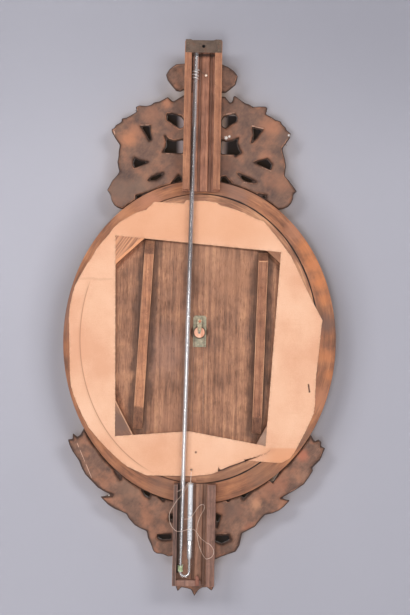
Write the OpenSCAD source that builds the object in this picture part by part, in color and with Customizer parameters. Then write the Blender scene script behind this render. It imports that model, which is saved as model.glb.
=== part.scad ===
// Oval giltwood wheel barometer, seen in the photograph from its back.
// The origin is the centre of the hanging hole, in the plane of the wall.
// Z is up, the wall is at y = 0 and the dial faces -Y. All sizes are millimetres.
// "Depth" always means the distance from the wall, so a depth d lies at y = -d.

/* [Oval frame] */
// Width of the outer ring
ring_w = 502; // [490:1:520]
// Height of the outer ring
ring_h = 594; // [585:1:605]
// Drop from the hanging hole to the top of the outer ring
ring_drop = 242; // [236:1:248]
// Depth at which the backs of both rings lie
ring_back = 34; // [32:0.5:36]
// Depth of the highest part of the outer moulding
ring_front = 78; // [76:0.5:84]
// Width of the outer ring's wood at its sides, from its edge to the joint line
band_side = 32; // [30:0.5:36]
// Width of the outer ring's wood at its top and foot
band_end = 30.5; // [28:0.5:34]
// Gap that has opened at the joint line
joint_gap = 0.8; // [0.4:0.1:1.5]
// Width of the inner ring at its sides, from the joint line to the opening over the dial
inner_side = 51; // [49:0.5:58]
// Width of the inner ring at its top and foot
inner_end = 60.5; // [58:0.5:66]
// How far the glass reaches behind the edge of that opening
rebate = 5; // [3:0.5:6]
// Diameter of one bead round the outer ring
bead_d = 6.6; // [5:0.1:6.8]
// Least gap between two beads
bead_gap = 0.4; // [0.2:0.1:2]

/* [Dial side] */
// Thickness of the dial board
board_t = 12; // [10:0.5:13]
// How far the dial board lies below the backs of the rings
board_sink = 8; // [6:0.5:10]
// Width of the bevel round the back of the dial board
board_bevel = 14; // [8:1:18]
// Thickness of the dial sheet
dial_t = 1; // [0.8:0.1:1.5]
// Space between the dial and the glass
slip_t = 9; // [8:0.5:11]
// Thickness of the glass over the dial
glass_t = 2; // [1.5:0.1:3]
// Length of the hand from its pivot to its tip
hand_l = 138; // [110:1:145]
// Thickness of the hand
hand_t = 1; // [0.8:0.1:1.5]

/* [Pivot] */
// Diameter of the pulley that the thread turns
pulley_d = 19.5; // [18:0.1:21]
// Thickness of the pulley
pulley_t = 5; // [4:0.1:5.4]
// Diameter of the arbor that carries the hand
arbor_d = 2; // [1.6:0.1:2.6]
// Running clearance round the arbor
arbor_clear = 0.15; // [0.1:0.01:0.3]
// Width of the brass pivot plate
plate_w = 24; // [23:0.5:28]
// Height of the brass pivot plate
plate_h = 58; // [54:0.5:64]
// Thickness of the brass pivot plate
plate_t = 1.4; // [1:0.1:1.8]
// Diameter of the recess in the board under the pulley
well_d = 32; // [28:0.5:36]

/* [Channel] */
// Outer width of the upper channel
upper_w = 68; // [66:0.5:72]
// Width of each upper rail
upper_rail_w = 12.6; // [11:0.1:12.8]
// Height of the rails above the channel floor
rail_h = 24; // [23:0.5:26]
// Depth at which the backs of the lower rails lie
lower_rail_back = 2; // [1:0.5:3]
// Width of the lower left rail
lower_left_w = 7; // [5:0.5:7]
// Width of the lower right rail
lower_right_w = 15; // [12:0.5:15]
// Thickness of the channel floor beyond the rings
floor_t = 16; // [14:0.5:18]
// Height above the hanging hole at which the channel ends
channel_top = 10; // [9:0.5:11]
// How far the lower channel reaches below the outer ring
foot_drop = 148; // [144:1:152]

/* [Hanging plate] */
// Width of the iron plate
iron_w = 66; // [62:0.5:68]
// Height of the iron plate below its ears
iron_h = 23; // [20:0.5:26]
// Thickness of the iron plate
iron_t = 2; // [1.5:0.1:3]
// Diameter of the hanging hole
hole_d = 6; // [4:0.1:8]
// Diameter of the nails that hold the plate
nail_d = 2.4; // [2:0.1:3]
// Diameter of the nail heads
nail_head_d = 5; // [4:0.1:6]

/* [Glass tube] */
// Outer diameter of the long arm
tube_d = 8.8; // [8:0.1:9.2]
// Bore of the long arm
tube_bore = 5.2; // [4:0.1:5.6]
// Outer diameter of the bend at the foot
bend_d = 5.6; // [5:0.1:6]
// Bore of the bend at the foot
bend_bore = 2.6; // [2:0.1:3]
// Outer diameter of the open arm
arm_d = 10.4; // [9.8:0.1:10.6]
// Bore of the open arm
arm_bore = 8.4; // [8:0.1:8.6]
// Lean of the long arm from the upright, in degrees
tube_lean = 0.74; // [0.7:0.01:0.76]
// Height of the mercury column
column_h = 758; // [730:1:775]

/* [Carving] */
// Thickness of the crest carving
crest_t = 18; // [14:0.5:22]
// Thickness of the apron carving
apron_t = 18; // [14:0.5:22]
// Height of the raised stems and bosses over the carvings
relief_t = 7; // [4:0.5:9]

/* [Paper and threads] */
// Thickness of the backing paper
paper_t = 0.5; // [0.3:0.1:0.8]
// Diameter of the working thread
thread_d = 0.5; // [0.4:0.05:0.6]
// Diameter of the loose thread
loose_d = 0.7; // [0.5:0.05:0.8]
// Diameter of the thread that ties the foot of the tube
tie_d = 1.5; // [1.2:0.1:1.7]
// Diameter of the wire that ties the head of the tube
wire_d = 1.4; // [1:0.1:1.6]

/* [Hidden] */
$fn = 48;

wood = [0.56, 0.42, 0.33];
pale_wood = [0.68, 0.50, 0.38];
gilt = [0.80, 0.62, 0.28];
paper_colour = [0.93, 0.72, 0.58];
brass = [0.62, 0.58, 0.42];
iron = [0.38, 0.34, 0.28];
boxwood = [0.92, 0.68, 0.52];
steel = [0.30, 0.32, 0.38];
glass_colour = [0.80, 0.85, 0.85, 0.4];
mercury_colour = [0.85, 0.85, 0.87];
thread_colour = [0.82, 0.66, 0.56];
green_thread = [0.74, 0.84, 0.62];

// Places and sizes of the ovals, from the hanging hole
joint_w = ring_w - 2 * band_side;
joint_h = ring_h - 2 * band_end;
sight_w = joint_w - 2 * inner_side;
sight_h = joint_h - 2 * inner_end;
channel_foot = ring_drop + ring_h + foot_drop;
ring_c = [-2, -(ring_drop + ring_h / 2)];
joint_c = ring_c + [1, 6];
sight_c = ring_c + [2, 2];
pivot = ring_c + [0.5, 17.5];
ring_top = ring_c[1] + ring_h / 2;
ring_foot = ring_c[1] - ring_h / 2;
joint_top = joint_c[1] + joint_h / 2;
joint_foot = joint_c[1] - joint_h / 2;
oval_sides = 96;

// The outlines of x and z below were drawn for a ring 502 wide and 594 high that starts 242
// below the hanging hole, over a channel that reaches 148 further. They stretch with these.
function place_x(x) = ring_c[0] + (x - ring_c[0]) * ring_w / 502;
function place_z(z) =
    z > -242 ? z * ring_drop / 242 :
    z < -836 ? ring_foot + (z + 836) * foot_drop / 148 :
    ring_top + (z + 242) * ring_h / 594;
function placed(p) = [place_x(p[0]), place_z(p[1])];
function placed_all(list) = [for (p = list) placed(p)];

// Depths, from the wall towards the dial
floor_back = rail_h;
floor_front = floor_back + floor_t;
board_back = ring_back + board_sink;
board_front = board_back + board_t;
dial_front = board_front + dial_t;
glass_back = dial_front + slip_t;
lip_back = glass_back + glass_t;
plate_back = board_back - plate_t;
pulley_front = plate_back - 0.2;
pulley_back = pulley_front - pulley_t;
cock_front = pulley_back - 0.7;
cock_t = 1.6;
cock_back = cock_front - cock_t;
hand_back = dial_front + 2.6;
hand_front = hand_back + hand_t;
fit = 0.5;

// Outlines, with x and z in millimetres from the hanging hole
crest_left = [
    [36, -84], [55, -96], [65, -87.5], [71, -91], [80, -96], [90, -98], [96, -103],
    [104, -105], [117, -104], [124, -107], [122, -116], [130, -121], [140, -127],
    [150, -129], [149, -134], [154, -138], [160, -141], [163, -147], [168, -149],
    [167, -155], [160, -167], [152, -178], [154, -190], [154, -199], [156, -210],
    [154, -220], [152, -227], [156, -234], [165, -244], [170, -254], [174, -262],
    [171, -266], [168, -271], [166, -280], [161, -289], [154, -294], [144, -297],
    [120, -310]];
crest_right = [
    [-41, -85], [-50, -96], [-54, -95], [-56, -85], [-59, -83], [-65, -87], [-72, -92],
    [-78, -96], [-87, -99], [-92, -103], [-106, -102], [-116, -102], [-120, -105],
    [-117, -116], [-127, -121], [-135, -126], [-145, -129], [-147, -134], [-154, -140],
    [-156, -145], [-164, -151], [-162, -160], [-156, -169], [-149, -179], [-151, -189],
    [-154, -199], [-156, -211], [-154, -229], [-161, -237], [-169, -247], [-177, -258],
    [-171, -263], [-170, -272], [-167, -280], [-161, -287], [-152, -291], [-144, -292],
    [-120, -310]];
crest_holes = [
    [[65, -120], [55, -119], [40, -124], [35, -130], [35, -142], [42, -145], [50, -140],
     [57, -135], [65, -130]],
    [[114, -143], [97, -142], [97, -150], [94, -167], [97, -169], [105, -155], [110, -147]],
    [[72, -190], [66, -180], [65, -170], [69, -160], [62, -167], [52, -170], [42, -168],
     [35, -166], [35, -191]],
    [[124, -202], [115, -206], [100, -209], [112, -215], [124, -219], [126, -210]],
    [[71, -229], [82, -232], [92, -237], [98, -242], [84, -241], [75, -235]],
    [[42, -232], [35, -241], [55, -247], [49, -240]],
    [[120, -271], [110, -269], [100, -266], [120, -279]],
    [[-36, -130], [-40, -123], [-50, -119], [-59, -117], [-64, -124], [-62, -131],
     [-52, -136], [-43, -143], [-37, -140]],
    [[-93, -141], [-100, -144], [-111, -145], [-106, -152], [-100, -161], [-92, -169],
     [-96, -155]],
    [[-67, -161], [-57, -167], [-45, -169], [-36, -166], [-36, -191], [-60, -191],
     [-62, -195], [-72, -188], [-67, -180], [-64, -170]],
    [[-98, -206], [-110, -202], [-121, -199], [-129, -209], [-127, -219], [-112, -212]],
    [[-68, -227], [-81, -232], [-90, -236], [-100, -242], [-87, -242], [-77, -238]],
    [[-37, -235], [-43, -233], [-55, -246], [-36, -242]],
    [[-106, -265], [-120, -267], [-119, -273]]];
crest_top_outline = [
    [35, -25.5], [51, -27], [63, -36.5], [69, -47], [66, -57], [57, -68], [50, -76],
    [42, -77.5], [36, -74], [20, -78], [-20, -78], [-35, -78], [-42, -78], [-51, -71],
    [-60, -63], [-62, -56], [-64, -47], [-56, -37], [-45, -30], [-33, -25], [0, -20]];
apron_left = [
    [200, -690], [210, -705], [215, -715], [221, -719], [229, -712], [229, -723],
    [238, -724], [235, -734], [229, -746], [217, -763], [212, -775], [205, -788],
    [192, -801], [181, -812], [167, -820], [154, -825], [176, -829], [170, -835],
    [161, -844], [149, -851], [138, -855], [127, -860], [123, -868], [112, -880],
    [101, -886], [89, -891], [87, -903], [81, -915], [76, -928], [70, -932], [58, -933],
    [49, -937], [40, -936]];
apron_right = [
    [-200, -690], [-210, -705], [-218, -719], [-226, -716], [-231, -720], [-230, -728],
    [-238, -731], [-234, -741], [-229, -754], [-215, -768], [-216, -774], [-209, -786],
    [-200, -799], [-184, -810], [-169, -819], [-158, -825], [-175, -829], [-164, -841],
    [-154, -849], [-142, -854], [-129, -857], [-120, -867], [-111, -879], [-98, -886],
    [-87, -892], [-83, -914], [-76, -926], [-62, -931], [-49, -936], [-38, -941]];
apron_holes = [
    [[149, -781], [138, -792], [139, -796]],
    [[99, -814], [83, -821], [86, -829], [94, -823]],
    [[67, -827], [57, -830], [59, -834]],
    [[45, -859], [41, -861], [41, -871], [46, -868]],
    [[68, -897], [44, -896], [43, -905], [60, -906], [68, -902]],
    [[-136, -790], [-158, -772], [-142, -796]],
    [[-84, -819], [-104, -811], [-88, -828]],
    [[-54, -827], [-65, -826], [-60, -832]],
    [[-38, -857], [-46, -860], [-40, -880]],
    [[-39, -897], [-62, -896], [-65, -904], [-50, -911], [-38, -907]]];
pendant_outline = [
    [33, -930], [34, -985], [33, -993], [30, -1001], [23, -993], [12, -995], [5, -997],
    [-1, -1009], [-8, -998], [-14, -993], [-24, -992], [-33, -999], [-37, -991],
    [-35, -930]];
paper_outline = [
    [238, -480], [239, -500], [238, -540], [235.5, -600], [233.5, -622], [228, -640],
    [219.5, -660], [210, -680], [199, -700], [182, -720], [162.5, -740], [140.5, -760],
    [127, -770], [105, -780], [91, -786], [10, -786], [-20, -783], [-30, -781],
    [-40, -776.5], [-41, -768], [-45, -773], [-60, -766.5], [-90, -755], [-110, -756.5],
    [-150, -759], [-159, -758], [-172, -750], [-180, -740], [-190, -720], [-200, -700],
    [-209, -680], [-214.5, -667], [-216.5, -650], [-217.5, -600], [-222.5, -550],
    [-225.5, -510], [-227.5, -495], [-219.5, -480], [-203, -450], [-188, -420],
    [-168, -379], [-150, -355], [-130, -331], [-116, -315], [-100, -310], [-80, -300],
    [-60, -293], [-36, -287], [-29, -282], [-8, -279], [8, -280], [26, -278], [32, -285],
    [60, -283.5], [86, -283], [100, -297], [120, -304], [150, -322], [160, -332],
    [170, -346], [190, -370], [200, -389], [208, -400], [219, -420], [229, -440],
    [234.5, -460]];
paper_opening = [
    [156, -346], [-149, -371], [-127, -728], [14, -703.5], [150, -715]];
thread_hole = [8.6, -774];
board_corner_top = [72, -322];
board_corner_side_top = [172, -415];
board_corner_side_foot = [172, -608];
board_corner_foot = [94, -756];

// An oval as a list of points, w wide and h high, about c
function oval(w, h, c) =
    [for (i = [0:oval_sides - 1]) let (t = 360 * i / oval_sides)
        c + [w / 2 * cos(t), h / 2 * sin(t)]];
function reversed(list) = [for (i = [len(list) - 1:-1:0]) list[i]];
function flipped(list) = [for (p = list) [-p[0], p[1]]];
function unit(v) = v / norm(v);

// Draws an outline of x and z into a slab between two depths
module slab(back, front)
    rotate([90, 0, 0]) translate([0, 0, back]) linear_extrude(front - back) children();

// A cylinder along the depth, from one depth to another
module spindle(at, d, back, front)
    translate([at[0], -back, at[1]]) rotate([90, 0, 0]) cylinder(d = d, h = front - back);

// A box between two corners, given as x, depth and z
module block(from, to) {
    low = [min(from[0], to[0]), -max(from[1], to[1]), min(from[2], to[2])];
    high = [max(from[0], to[0]), -min(from[1], to[1]), max(from[2], to[2])];
    translate(low) cube(high - low);
}

// A ring swept between an inner and an outer oval; a profile point is the share of
// the way from the inner to the outer oval, and the depth
module swept_ring(inner, outer, profile) {
    n = oval_sides;
    m = len(profile);
    points = [for (p = profile) for (i = [0:n - 1])
        let (at = inner[i] * (1 - p[0]) + outer[i] * p[0]) [at[0], -p[1], at[1]]];
    faces = [for (k = [0:m - 1]) for (i = [0:n - 1])
        let (j = (i + 1) % n, l = (k + 1) % m)
        each [[k * n + i, k * n + j, l * n + j], [k * n + i, l * n + j, l * n + i]]];
    polyhedron(points, faces);
}

// A round tube along a list of points, with its two ends closed flat
module swept_tube(route, d, sides) {
    last = len(route) - 1;
    function heading(i) = unit(route[min(i + 1, last)] - route[max(i - 1, 0)]);
    function across(i) = unit(cross(heading(i), [0.05, 1, 0.1]));
    function up(i) = cross(across(i), heading(i));
    points = [for (i = [0:last]) for (k = [0:sides - 1]) let (t = 360 * k / sides)
        route[i] + d / 2 * (cos(t) * across(i) + sin(t) * up(i))];
    side_faces = [for (i = [0:last - 1]) for (k = [0:sides - 1])
        let (l = (k + 1) % sides, a = i * sides, b = (i + 1) * sides)
        each [[a + k, b + k, b + l], [a + k, b + l, a + l]]];
    start_face = [for (k = [0:sides - 1]) k];
    end_face = [for (k = [sides - 1:-1:0]) last * sides + k];
    polyhedron(points, concat(side_faces, [start_face, end_face]), convexity = 8);
}

// Hanging plate
iron_top = iron_h / 2;
nail_places = [[-28, 6], [28, 6], [-28, -7], [28, -7]];
iron_outline = [
    [iron_w / 2, -iron_top], [iron_w / 2, iron_top + 1], [24, iron_top + 1.3],
    [20, iron_top - 0.5], [-18, iron_top - 0.5], [-22, iron_top + 1.3],
    [-iron_w / 2, iron_top + 1], [-iron_w / 2, -iron_top]];
nail_head_t = 0.9;
nail_clear = 0.1;
nail_l = 16;

module hanging_plate() color(iron) difference() {
    slab(0, iron_t) polygon(iron_outline);
    spindle([0, 0], hole_d, -1, iron_t + 1);
    for (p = nail_places) {
        spindle(p, nail_d + nail_clear, -1, iron_t + 1);
        spindle(p, nail_head_d + nail_clear, -1, nail_head_t);
    }
}

module hanging_plate_nails() color(iron) for (p = nail_places) {
    spindle(p, nail_head_d, 0, nail_head_t);
    spindle(p, nail_d, nail_head_t, nail_l);
}

// Upper channel
upper_end = joint_top + 6;

module upper_rail(side) color(pale_wood) difference() {
    x = side * upper_w / 2;
    block([x, 0, channel_top], [x - side * upper_rail_w, rail_h, upper_end]);
    block([-upper_w, -1, channel_top + 1], [upper_w, iron_t, -iron_top]);
    for (p = nail_places) spindle(p, nail_d, -1, nail_l);
}

module upper_rail_left() upper_rail(1);
module upper_rail_right() upper_rail(-1);

// Cross-section of a channel floor in x and depth, with a groove on each side of a ridge
function floor_section(left, right, ridge_left, ridge_right, groove, front) = [
    [left, floor_back], [ridge_left + 7, floor_back], [ridge_left + 5, floor_back + groove],
    [ridge_left + 2, floor_back + groove], [ridge_left, floor_back],
    [ridge_right, floor_back], [ridge_right - 1.5, floor_back + groove],
    [ridge_right - 5.5, floor_back + groove], [ridge_right - 7, floor_back],
    [right, floor_back], [right, front], [left, front]];

// Sides of the ridge between the two grooves
upper_ridge = [2, -11];
lower_ridge = [-1, -13];
upper_groove = 3.5;
lower_groove = 3;

// Runs such a section down the channel from one height to another
module floor_board(section, top, foot)
    translate([0, 0, foot]) linear_extrude(top - foot)
        polygon([for (p = section) [p[0], -p[1]]]);

module upper_channel_floor() color(wood) difference() {
    floor_board(floor_section(upper_w / 2, -upper_w / 2, upper_ridge[0], upper_ridge[1],
                              upper_groove, floor_front), channel_top, upper_end - 2);
    slab(ring_back, floor_front + 1) polygon(oval(ring_w, ring_h, ring_c));
    spindle(tie_nail_at, nail_d, floor_back - 1, floor_back + tie_nail_l);
    for (x = [-1, 1]) spindle([upper_tube_x + x * wire_turn_r, wire_foot], wire_d + 0.2,
                              floor_back - 1, floor_back + 3);
}

// Carvings
module carved_slab(outline, holes, t) difference() {
    slab(floor_front, floor_front + t) difference() {
        polygon(outline);
        for (h = holes) polygon(h);
    }
    slab(floor_front - 1, floor_front + t + 1) polygon(oval(ring_w, ring_h, ring_c));
}

// A raised stem w wide along a list of points, with a narrower ridge on its front
module raised_stem(points, w, base, h) {
    slab(base, base + 0.6 * h) stem_outline(points, w);
    slab(base + 0.6 * h, base + h) stem_outline(points, 0.5 * w);
}
module stem_outline(points, w)
    for (i = [0:len(points) - 2]) let (a = points[i], b = points[i + 1], run = b - a) {
        translate(a) rotate(atan2(run[1], run[0])) translate([0, -w / 2])
            square([norm(run), w]);
        if (i < len(points) - 2) translate(b) circle(d = w + 1);
    }

stem_w = 13;
crest_stem = [[38, -100], [70, -112], [104, -126], [134, -150], [140, -180], [142, -215],
              [150, -250]];
apron_stem = [[24, -926], [56, -918], [74, -908], [84, -884], [106, -862], [134, -836],
              [170, -796], [204, -758], [222, -728]];
// Each boss as its x, its z and its diameter
crest_bosses = [[0, -150, 36], [0, -205, 30]];
top_bosses = [[38, -52, 36], [-38, -52, 36]];
top_knot = [0, -52, 34];
apron_boss = [0, -890, 44];
pendant_boss = [-1, -976, 30];
pendant_t = 14;

module boss(at, base, h) spindle(placed(at), at[2], base, base + h);
module both_stems(points, base) for (way = [points, flipped(points)])
    raised_stem(placed_all(way), stem_w, base, relief_t);

module crest_carving() color(gilt) {
    carved_slab(placed_all(concat(crest_left, reversed(crest_right))),
                [for (h = crest_holes) placed_all(h)], crest_t);
    both_stems(crest_stem, floor_front + crest_t);
    for (b = crest_bosses) boss(b, floor_front + crest_t, relief_t);
}

module crest_top() color(gilt) {
    slab(floor_front, floor_front + crest_t) polygon(placed_all(crest_top_outline));
    for (b = top_bosses) boss(b, floor_front + crest_t, relief_t);
    boss(top_knot, floor_front + crest_t, relief_t + 2);
}

module apron_carving() color(gilt) {
    carved_slab(placed_all(concat(apron_left, reversed(apron_right))),
                [for (h = apron_holes) placed_all(h)], apron_t);
    both_stems(apron_stem, floor_front + apron_t);
    boss(apron_boss, floor_front + apron_t, relief_t);
}

module apron_pendant() color(gilt) difference() {
    union() {
        slab(floor_front, floor_front + pendant_t) polygon(placed_all(pendant_outline));
        boss(pendant_boss, floor_front + pendant_t, relief_t);
    }
    slab(floor_front - 1, floor_front + pendant_t + relief_t + 1)
        polygon(placed_all(concat(apron_left, reversed(apron_right))));
}

// Rings
function joint_oval(gap) = oval(joint_w - 2 * gap, joint_h - 2 * gap, joint_c);
bead_share = 0.15;
bead_ledge = lip_back;
ring_profile = [
    [0, ring_back], [0, bead_ledge], [2 * bead_share, bead_ledge], [0.32, ring_front - 5],
    [0.40, ring_front - 1], [0.52, ring_front], [0.64, ring_front - 1],
    [0.75, ring_front - 4], [0.84, ring_front - 9], [0.88, ring_front - 15],
    [1, ring_front - 17], [1, ring_back]];
sight_profile = [
    [0, lip_back], [0, lip_back + 4], [0.05, lip_back + 7], [0.12, lip_back + 8.5],
    [0.19, lip_back + 7], [0.24, lip_back + 4], [0.80, lip_back + 3],
    [0.86, lip_back + 5], [0.95, lip_back + 6], [1, lip_back + 4], [1, lip_back]];

module outer_ring() color(wood)
    swept_ring(joint_oval(0), oval(ring_w, ring_h, ring_c), ring_profile);

// The board's eight corners, moved out by some millimetres
function half_board(grow) = [
    placed(board_corner_top) + grow * [0.5, 1], placed(board_corner_side_top) + grow * [1, 0.5],
    placed(board_corner_side_foot) + grow * [1, -0.5],
    placed(board_corner_foot) + grow * [0.5, -1]];
function board_outline(grow) = concat(half_board(grow), reversed(flipped(half_board(grow))));

module inner_ring() color(wood) difference() {
    slab(ring_back, lip_back) polygon(joint_oval(joint_gap));
    slab(ring_back - 1, board_front) polygon(board_outline(fit));
    slab(board_front - 1, lip_back + 1)
        polygon(oval(sight_w + 2 * rebate, sight_h + 2 * rebate, sight_c));
    block([thread_at[0] - 3, ring_back - 1, thread_at[1] - 6],
          [thread_at[0] + 3, ring_back + 6, thread_at[1] + 24]);
}
thread_at = placed(thread_hole);

module sight_moulding() color(gilt)
    swept_ring(oval(sight_w, sight_h, sight_c), joint_oval(joint_gap), sight_profile);

bead_count = floor(PI * (joint_w + 2 * bead_share * band_side) / (bead_d + bead_gap));
module pearl_beading() color(gilt) {
    for (i = [0:bead_count - 1]) let (t = 360 * i / bead_count,
            a = joint_c + [joint_w / 2 * cos(t), joint_h / 2 * sin(t)],
            b = ring_c + [ring_w / 2 * cos(t), ring_h / 2 * sin(t)],
            at = a * (1 - bead_share) + b * bead_share)
        translate([at[0], -bead_ledge, at[1]]) rotate([90, 0, 0]) rotate_extrude($fn = 24)
            intersection() {
                circle(d = bead_d);
                square(bead_d);
            }
}

// Dial board with a bevel along each of its eight back edges
module dial_board() color(wood) {
    layers = [[board_outline(-board_bevel), board_back],
              [board_outline(0), board_back + board_t / 2], [board_outline(0), board_front]];
    points = [for (l = layers) for (p = l[0]) [p[0], -l[1], p[1]]];
    side_faces = [for (k = [0:1]) for (i = [0:7]) let (j = (i + 1) % 8)
        each [[k * 8 + i, k * 8 + 8 + j, k * 8 + 8 + i], [k * 8 + i, k * 8 + j, k * 8 + 8 + j]]];
    difference() {
        polyhedron(points, concat(side_faces, [[for (i = [7:-1:0]) i], [for (i = [16:23]) i]]));
        spindle(pivot, well_d, board_back - 1, board_back + 6);
        spindle(pivot, bush_d, board_back, board_front + 1);
        for (p = pin_places) spindle(pivot + p, pin_d, board_back - 1, board_back + 7);
        spindle(pivot + screw_at, screw_d, board_back - 1, board_back + 9);
    }
}

// A batten laid between the ends of its back face, with two slopes down to the board
batten_w = 17.5;
batten_t = 18;
batten_toe = 3;
left_ends = [[93.5, -382], [107, -655]];
left_slopes = [28, 46];
right_ends = [[-116.5, -389], [-110.5, -671]];
right_slopes = [16, 35];
module batten(ends, slopes) {
    run = ends[1] - ends[0];
    length = norm(run);
    translate([ends[0][0], -board_back, ends[0][1]])
        rotate([0, 90 - atan2(run[1], run[0]), 0]) translate([-batten_w / 2, 0, 0])
        rotate([0, 90, 0]) linear_extrude(batten_w) polygon([
            [0, batten_t], [-length, batten_t], [-length - slopes[1], batten_toe],
            [-length - slopes[1], 0], [slopes[0], 0], [slopes[0], batten_toe]]);
}
module batten_left() color(pale_wood) batten(placed_all(left_ends), left_slopes);
module batten_right() color(pale_wood) batten(placed_all(right_ends), right_slopes);

// A narrow tear runs into the paper along the edge of a loose strip
tear = [[-88, -754], [-110, -748], [-130, -740], [-140, -732], [-129, -741.5],
        [-110, -750], [-92, -757]];
thread_hole_d = 4;
module dust_paper() color(paper_colour)
    slab(ring_back - paper_t, ring_back) difference() {
        polygon(placed_all(paper_outline));
        polygon(placed_all(paper_opening));
        translate(thread_at) circle(d = thread_hole_d);
        polygon(placed_all(tear));
    }

// Pivot plate, cock, pulley and arbor
screw_at = [-0.5, 20.5];
screw_d = 2.4;
pin_d = 1.6;
pin_places = [[9, 27], [-9, 27], [9, -24], [-9, -24]];
bush_d = 6;
plate_c = pivot + [-0.5, 2];
window_d = pulley_d + 4;

module pivot_plate() color(brass) difference() {
    slab(plate_back, board_back) polygon([
        plate_c + [-plate_w / 2, -plate_h / 2], plate_c + [plate_w / 2, -plate_h / 2],
        plate_c + [plate_w / 2, plate_h / 2 - 3], plate_c + [plate_w / 2 - 3, plate_h / 2],
        plate_c + [3 - plate_w / 2, plate_h / 2], plate_c + [-plate_w / 2, plate_h / 2 - 3]]);
    spindle(pivot, window_d - 3, plate_back - 1, board_back + 1);
    for (p = pin_places) spindle(pivot + p, pin_d, plate_back - 1, board_back + 1);
    spindle(pivot + screw_at, screw_d, plate_back - 1, board_back + 1);
}

module plate_pins() color(brass) for (p = pin_places) {
    spindle(pivot + p, pin_d, plate_back, board_back + 7);
    spindle(pivot + p, pin_d + 1, plate_back - 0.6, plate_back);
}

module pivot_cock() color(brass) difference() {
    union() {
        slab(cock_back, cock_front) polygon([
            pivot + [-4.5, 26], pivot + [4, 26], pivot + [4, 15], pivot + [2.6, 0],
            pivot + [1.5, -2.6], pivot + [-1.5, -2.6], pivot + [-2.6, 0], pivot + [-4.5, 15]]);
        slab(cock_front, plate_back) polygon([
            pivot + [-4.5, 26], pivot + [4, 26], pivot + [4, 15], pivot + [-4.5, 15]]);
    }
    spindle(pivot, arbor_d + 2 * arbor_clear, cock_back - 1, cock_front + 1);
    spindle(pivot + screw_at, screw_d, cock_back - 1, plate_back + 1);
}

module cock_screw() color(brass) difference() {
    union() {
        spindle(pivot + screw_at, screw_d, cock_back, board_back + 9);
        spindle(pivot + screw_at, 5.4, cock_back - 1.4, cock_back);
    }
    block([pivot[0] - 4, cock_back - 2, pivot[1] + screw_at[1] - 0.4],
          [pivot[0] + 4, cock_back - 0.8, pivot[1] + screw_at[1] + 0.4]);
}

groove_r = pulley_d / 2 - 1.2;
groove_depth = (pulley_back + pulley_front) / 2;
module pulley() color(boxwood)
    translate([pivot[0], -pulley_back, pivot[1]]) rotate([90, 0, 0])
        rotate_extrude($fn = 64) polygon([
            [arbor_d / 2, 0], [pulley_d / 2, 0], [pulley_d / 2, 1], [groove_r, pulley_t / 2 - 0.5],
            [groove_r, pulley_t / 2 + 0.5], [pulley_d / 2, pulley_t - 1], [pulley_d / 2, pulley_t],
            [arbor_d / 2, pulley_t]]);

cap_front = hand_front + 2.4;
module arbor() color(steel) spindle(pivot, arbor_d, cock_back + 0.2, cap_front - 0.6);

module arbor_bush() color(brass) difference() {
    union() {
        spindle(pivot, bush_d, board_back + 6, dial_front + 0.6);
        spindle(pivot, bush_d + 3, board_back + 5, board_back + 6);
    }
    spindle(pivot, arbor_d + 2 * arbor_clear, board_back, dial_front + 2);
}

// Half widths of the hand at its tail, its pivot, its waist, its neck and its arrow head
tail_l = 36;
hand_boss_d = 13;
hand_half = [1.2, 1.6, 2.6, 1.2, 4.2];
hand_heights = [2 - tail_l, 4, hand_l * 0.45, hand_l * 0.62, hand_l * 0.70];
hand_left = [for (i = [0:4]) [-hand_half[i], hand_heights[i]]];
module indicator_hand() color(steel)
    translate([pivot[0], 0, pivot[1]]) difference() {
        union() {
            spindle([0, 0], hand_boss_d, hand_back, hand_front);
            slab(hand_back, hand_front)
                polygon(concat(hand_left, [[0, hand_l]], reversed(flipped(hand_left))));
            spindle([0, -tail_l], hand_boss_d, hand_back, hand_front);
        }
        spindle([0, 0], arbor_d, hand_back - 1, hand_front + 1);
    }

module hand_cap() color(brass) translate([pivot[0], -hand_front, pivot[1]]) rotate([90, 0, 0])
    difference() {
        union() {
            cylinder(d = 8, h = 1.4);
            cylinder(d = 4.6, h = cap_front - hand_front);
        }
        translate([0, 0, -1]) cylinder(d = arbor_d, h = cap_front - hand_front + 0.4);
    }

function behind_sight(gap) =
    oval(sight_w + 2 * (rebate - gap), sight_h + 2 * (rebate - gap), sight_c);

module dial_face() color([0.95, 0.92, 0.82]) difference() {
    slab(board_front, dial_front) polygon(behind_sight(fit));
    spindle(pivot, bush_d + 0.2, board_front - 1, dial_front + 1);
}

module sight_slip() color(gilt) slab(dial_front, glass_back) difference() {
    polygon(behind_sight(fit));
    polygon(oval(sight_w - 4, sight_h - 4, sight_c));
}

module dial_glass() color(glass_colour) slab(glass_back, lip_back) polygon(behind_sight(fit));

// Lower channel
lower_left = 40;
lower_right = -37;
lower_start = joint_foot + 0.5;

module lower_rail_left() color(wood)
    block([lower_left, lower_rail_back, lower_start],
          [lower_left - lower_left_w, rail_h, -channel_foot]);
module lower_rail_right() color(wood)
    block([lower_right, lower_rail_back, lower_start],
          [lower_right + lower_right_w, rail_h, -channel_foot]);

module lower_channel_floor() color(wood) difference() {
    floor_board(floor_section(lower_left, lower_right, lower_ridge[0], lower_ridge[1],
                              lower_groove, floor_front), lower_start, -channel_foot);
    slab(ring_back, floor_front + 1) polygon(oval(ring_w, ring_h, ring_c));
    spindle([tie_x - tie_turn_r, tie_foot], tie_d + 0.2, floor_back - 1, floor_back + 3);
}

block_top = -(channel_foot - 10.4);
module foot_block() color(wood)
    block([lower_left - lower_left_w, 6, block_top],
          [-12, floor_back, -channel_foot]);
module foot_wedge() color([0.62, 0.36, 0.28])
    slab(2.4, 6) polygon([[-2, block_top + 8], [-6, block_top + 9], [-9, block_top + 6],
                          [-9.5, block_top - 9], [-3, block_top - 10]]);

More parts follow.
